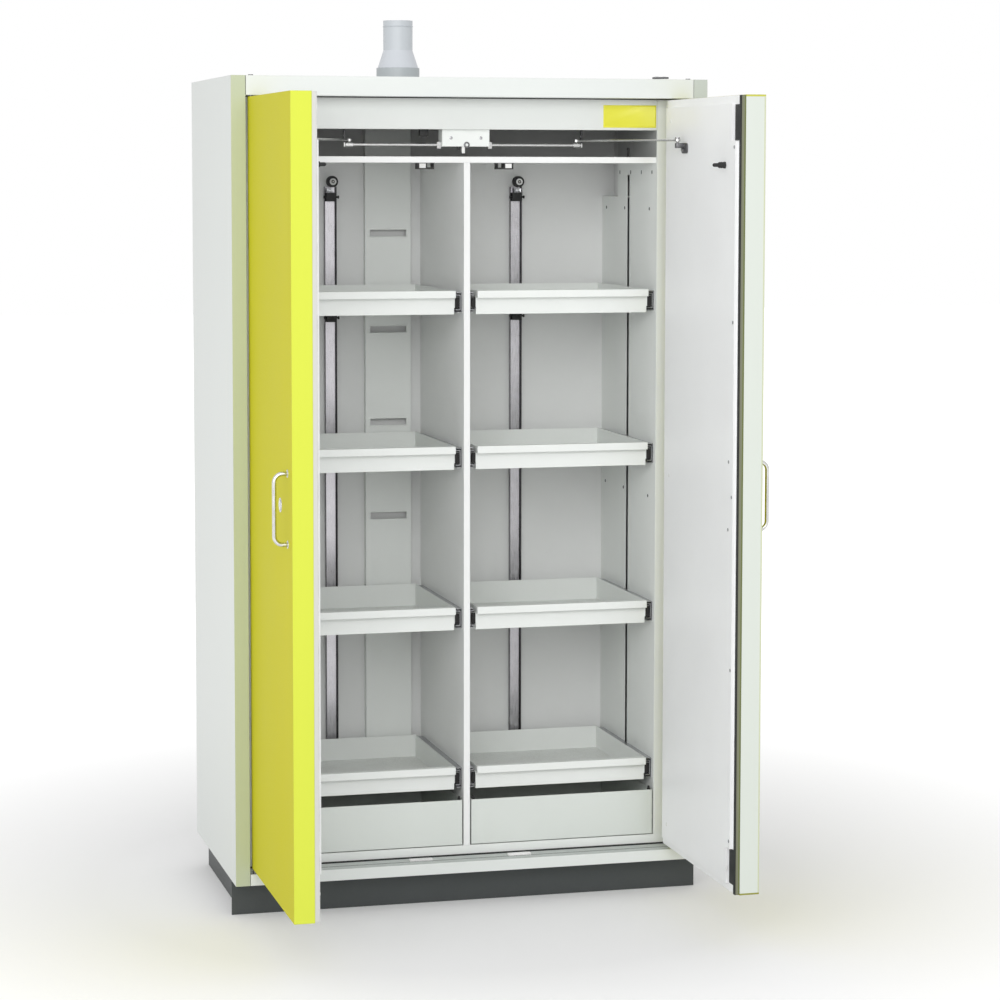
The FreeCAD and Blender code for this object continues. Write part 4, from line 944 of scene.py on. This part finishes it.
DOOR_FACE, ARM_END = 490, 466
SCREWS_AT = ((-822, 1884.4), (-822, 1478), (-800, 1150), (-822, 1069), (-799, 990), (-822, 660),
             (-822, 252))
CAPS_AT = ((-353.5, 1073.6), (-351, 189), (-808, 185), (-347.5, 1952.4))
LINK_X, LINK_Y = 472, -458
STRIKER_Y, STRIKER_Z = -759, 1843
HANDLE_ENDS = (987.5, 1148.5)
bracket = block((487, DOOR_FACE), (-486, -442), (1872, 1897))
pick(bracket, lambda at, way: abs(way.x) > ALONG, "EDGE")
bpy.ops.mesh.bevel(offset=0.008, segments=6)
close_up(bracket, 0.4)
arm = block((ARM_END, 488), (-464, -452), (1885, 1897))
pick(arm, lambda at, way: at.x < ARM_END + 1 and abs(way.z) > ALONG, "EDGE")
bpy.ops.mesh.bevel(offset=0.0045, segments=4)
close_up(arm, 0.8)
link_pin = turned([(2.9, 0), (2.9, 12), (2.5, 12.4)])
bolt = turned([(5.4, 0), (5.4, 0.8), (4.4, 1.0), (4.4, 3.4), (3.6, 4.0)], 6)
knuckle = turned([(5.4, 0), (6.4, 0.7), (6.4, 2.6), (5.2, 3.9), (2.4, 4.2)])
cap_dot = turned([(5, 0), (5, 0.4), (4.2, 0.9), (2, 1.0)], 20)
striker = turned([(8, 0), (8, 2), (6.5, 2.2), (6.5, 16.2), (4.5, 16.6), (4.5, 27.6), (3.2, 30),
                  (1.2, 31)])
sleeve = turned([(6.6, 0), (7.4, 0.7), (7.4, 2.1), (6.6, 2.8), (6.6, 4.2), (7.4, 4.9), (7.4, 6.3),
                 (6.6, 7.0), (6.6, 8.4), (7.4, 9.1), (7.4, 13.2), (6.9, 13.8)])
screws = lay(flat_screw, [(DOOR_FACE, y, z) for y, z in SCREWS_AT], "-X")
caps = lay(cap_dot, [(DOOR_FACE, y, z) for y, z in CAPS_AT], "-X")
bolts = lay(bolt, [(487, -454.3, 1881.5)], "-X") + lay(knuckle, [(LINK_X, LINK_Y, 1907.4)])
brackets = [bracket, arm] + lay(link_pin, [(LINK_X, LINK_Y, 1896)])
strikers = lay(striker, [(DOOR_FACE, STRIKER_Y, STRIKER_Z)], "-X")
strikers += lay(sleeve, [(475.4, STRIKER_Y, STRIKER_Z)], "X")
washers = [bead(7.4, 2.2, (557.3, -794, z), "X") for z in HANDLE_ENDS]
for name, finish, slot, parts in (
    ("screws", screw_steel, "slide_steel", screws), ("caps", tab_white, "white_plastic", caps),
    ("bolt", screw_steel, "slide_steel", bolts),
    ("link_bracket", bracket_steel, "bracket_steel", brackets),
    ("striker", black_plastic, "black_plastic", strikers),
    ("handle_washers", handle_steel, "handle_steel", washers),
):
    pair = gather_each("door_SIDE_%s" % name, finish, "door_SIDE", parts)
    if name in ("link_bracket", "striker"):
        for side, piece in pair.items():
            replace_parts(piece, "door_%s_hardware" % side)
rosette = bead(14.8, 2.4, (-557.2, -704, 1067.5), "X", flatten=0.6)
gather("lock_rosette", lock_chrome, "door_left", [rosette])
drop(flat_screw, link_pin, bolt, knuckle, cap_dot, striker, sleeve)

# Plinth and levelling feet: a ring of thick folded plate in a dark grey textured coat, which the
# cabinet is set down on, and zinc plated screw feet inside it.
plinth_paint = painted(
    "plinth_paint", colour(66, 70, 70), gloss=0.5, grain=700.0, depth=0.0002, dusty=0.5,
)
dress(plinth_paint, "plinth")
dress(zinc_steel, "levelling_feet")

# Exhaust spigot: a spun steel collar, cone and pipe in smooth light grey, darker at the collar and
# paler up the pipe. It is screwed on over the roof's air hole, on a white sealing bead, and has a
# rolled bead near the pipe's end.
SPIGOT_X, SPIGOT_Y, PIPE_BEAD_Z = -100, 92, 2196
COLLAR_Z, PIPE_Z = (2.05, 2.091), (2.136, 2.3)
spigot_grey = painted("spigot_grey", colour(206, 210, 216), gloss=0.4, grain=1200.0, depth=0.00005)
spigot_shades = tint_place(
    spigot_grey.copy(), (colour(174, 180, 183), ANY, ANY, COLLAR_Z),
    (colour(198, 203, 208), ANY, ANY, PIPE_Z),
)
dress(spigot_shades, "exhaust_spigot")
seal_bead = bead(56, 2.4, (SPIGOT_X, SPIGOT_Y, ROOF + 0.6))
gather("spigot_seal", tab_white, "cabinet", [seal_bead])
pipe_bead = bead(37.5, 1.6, (SPIGOT_X, SPIGOT_Y, PIPE_BEAD_Z))
gather("spigot_bead", spigot_shades, "cabinet", [pipe_bead])
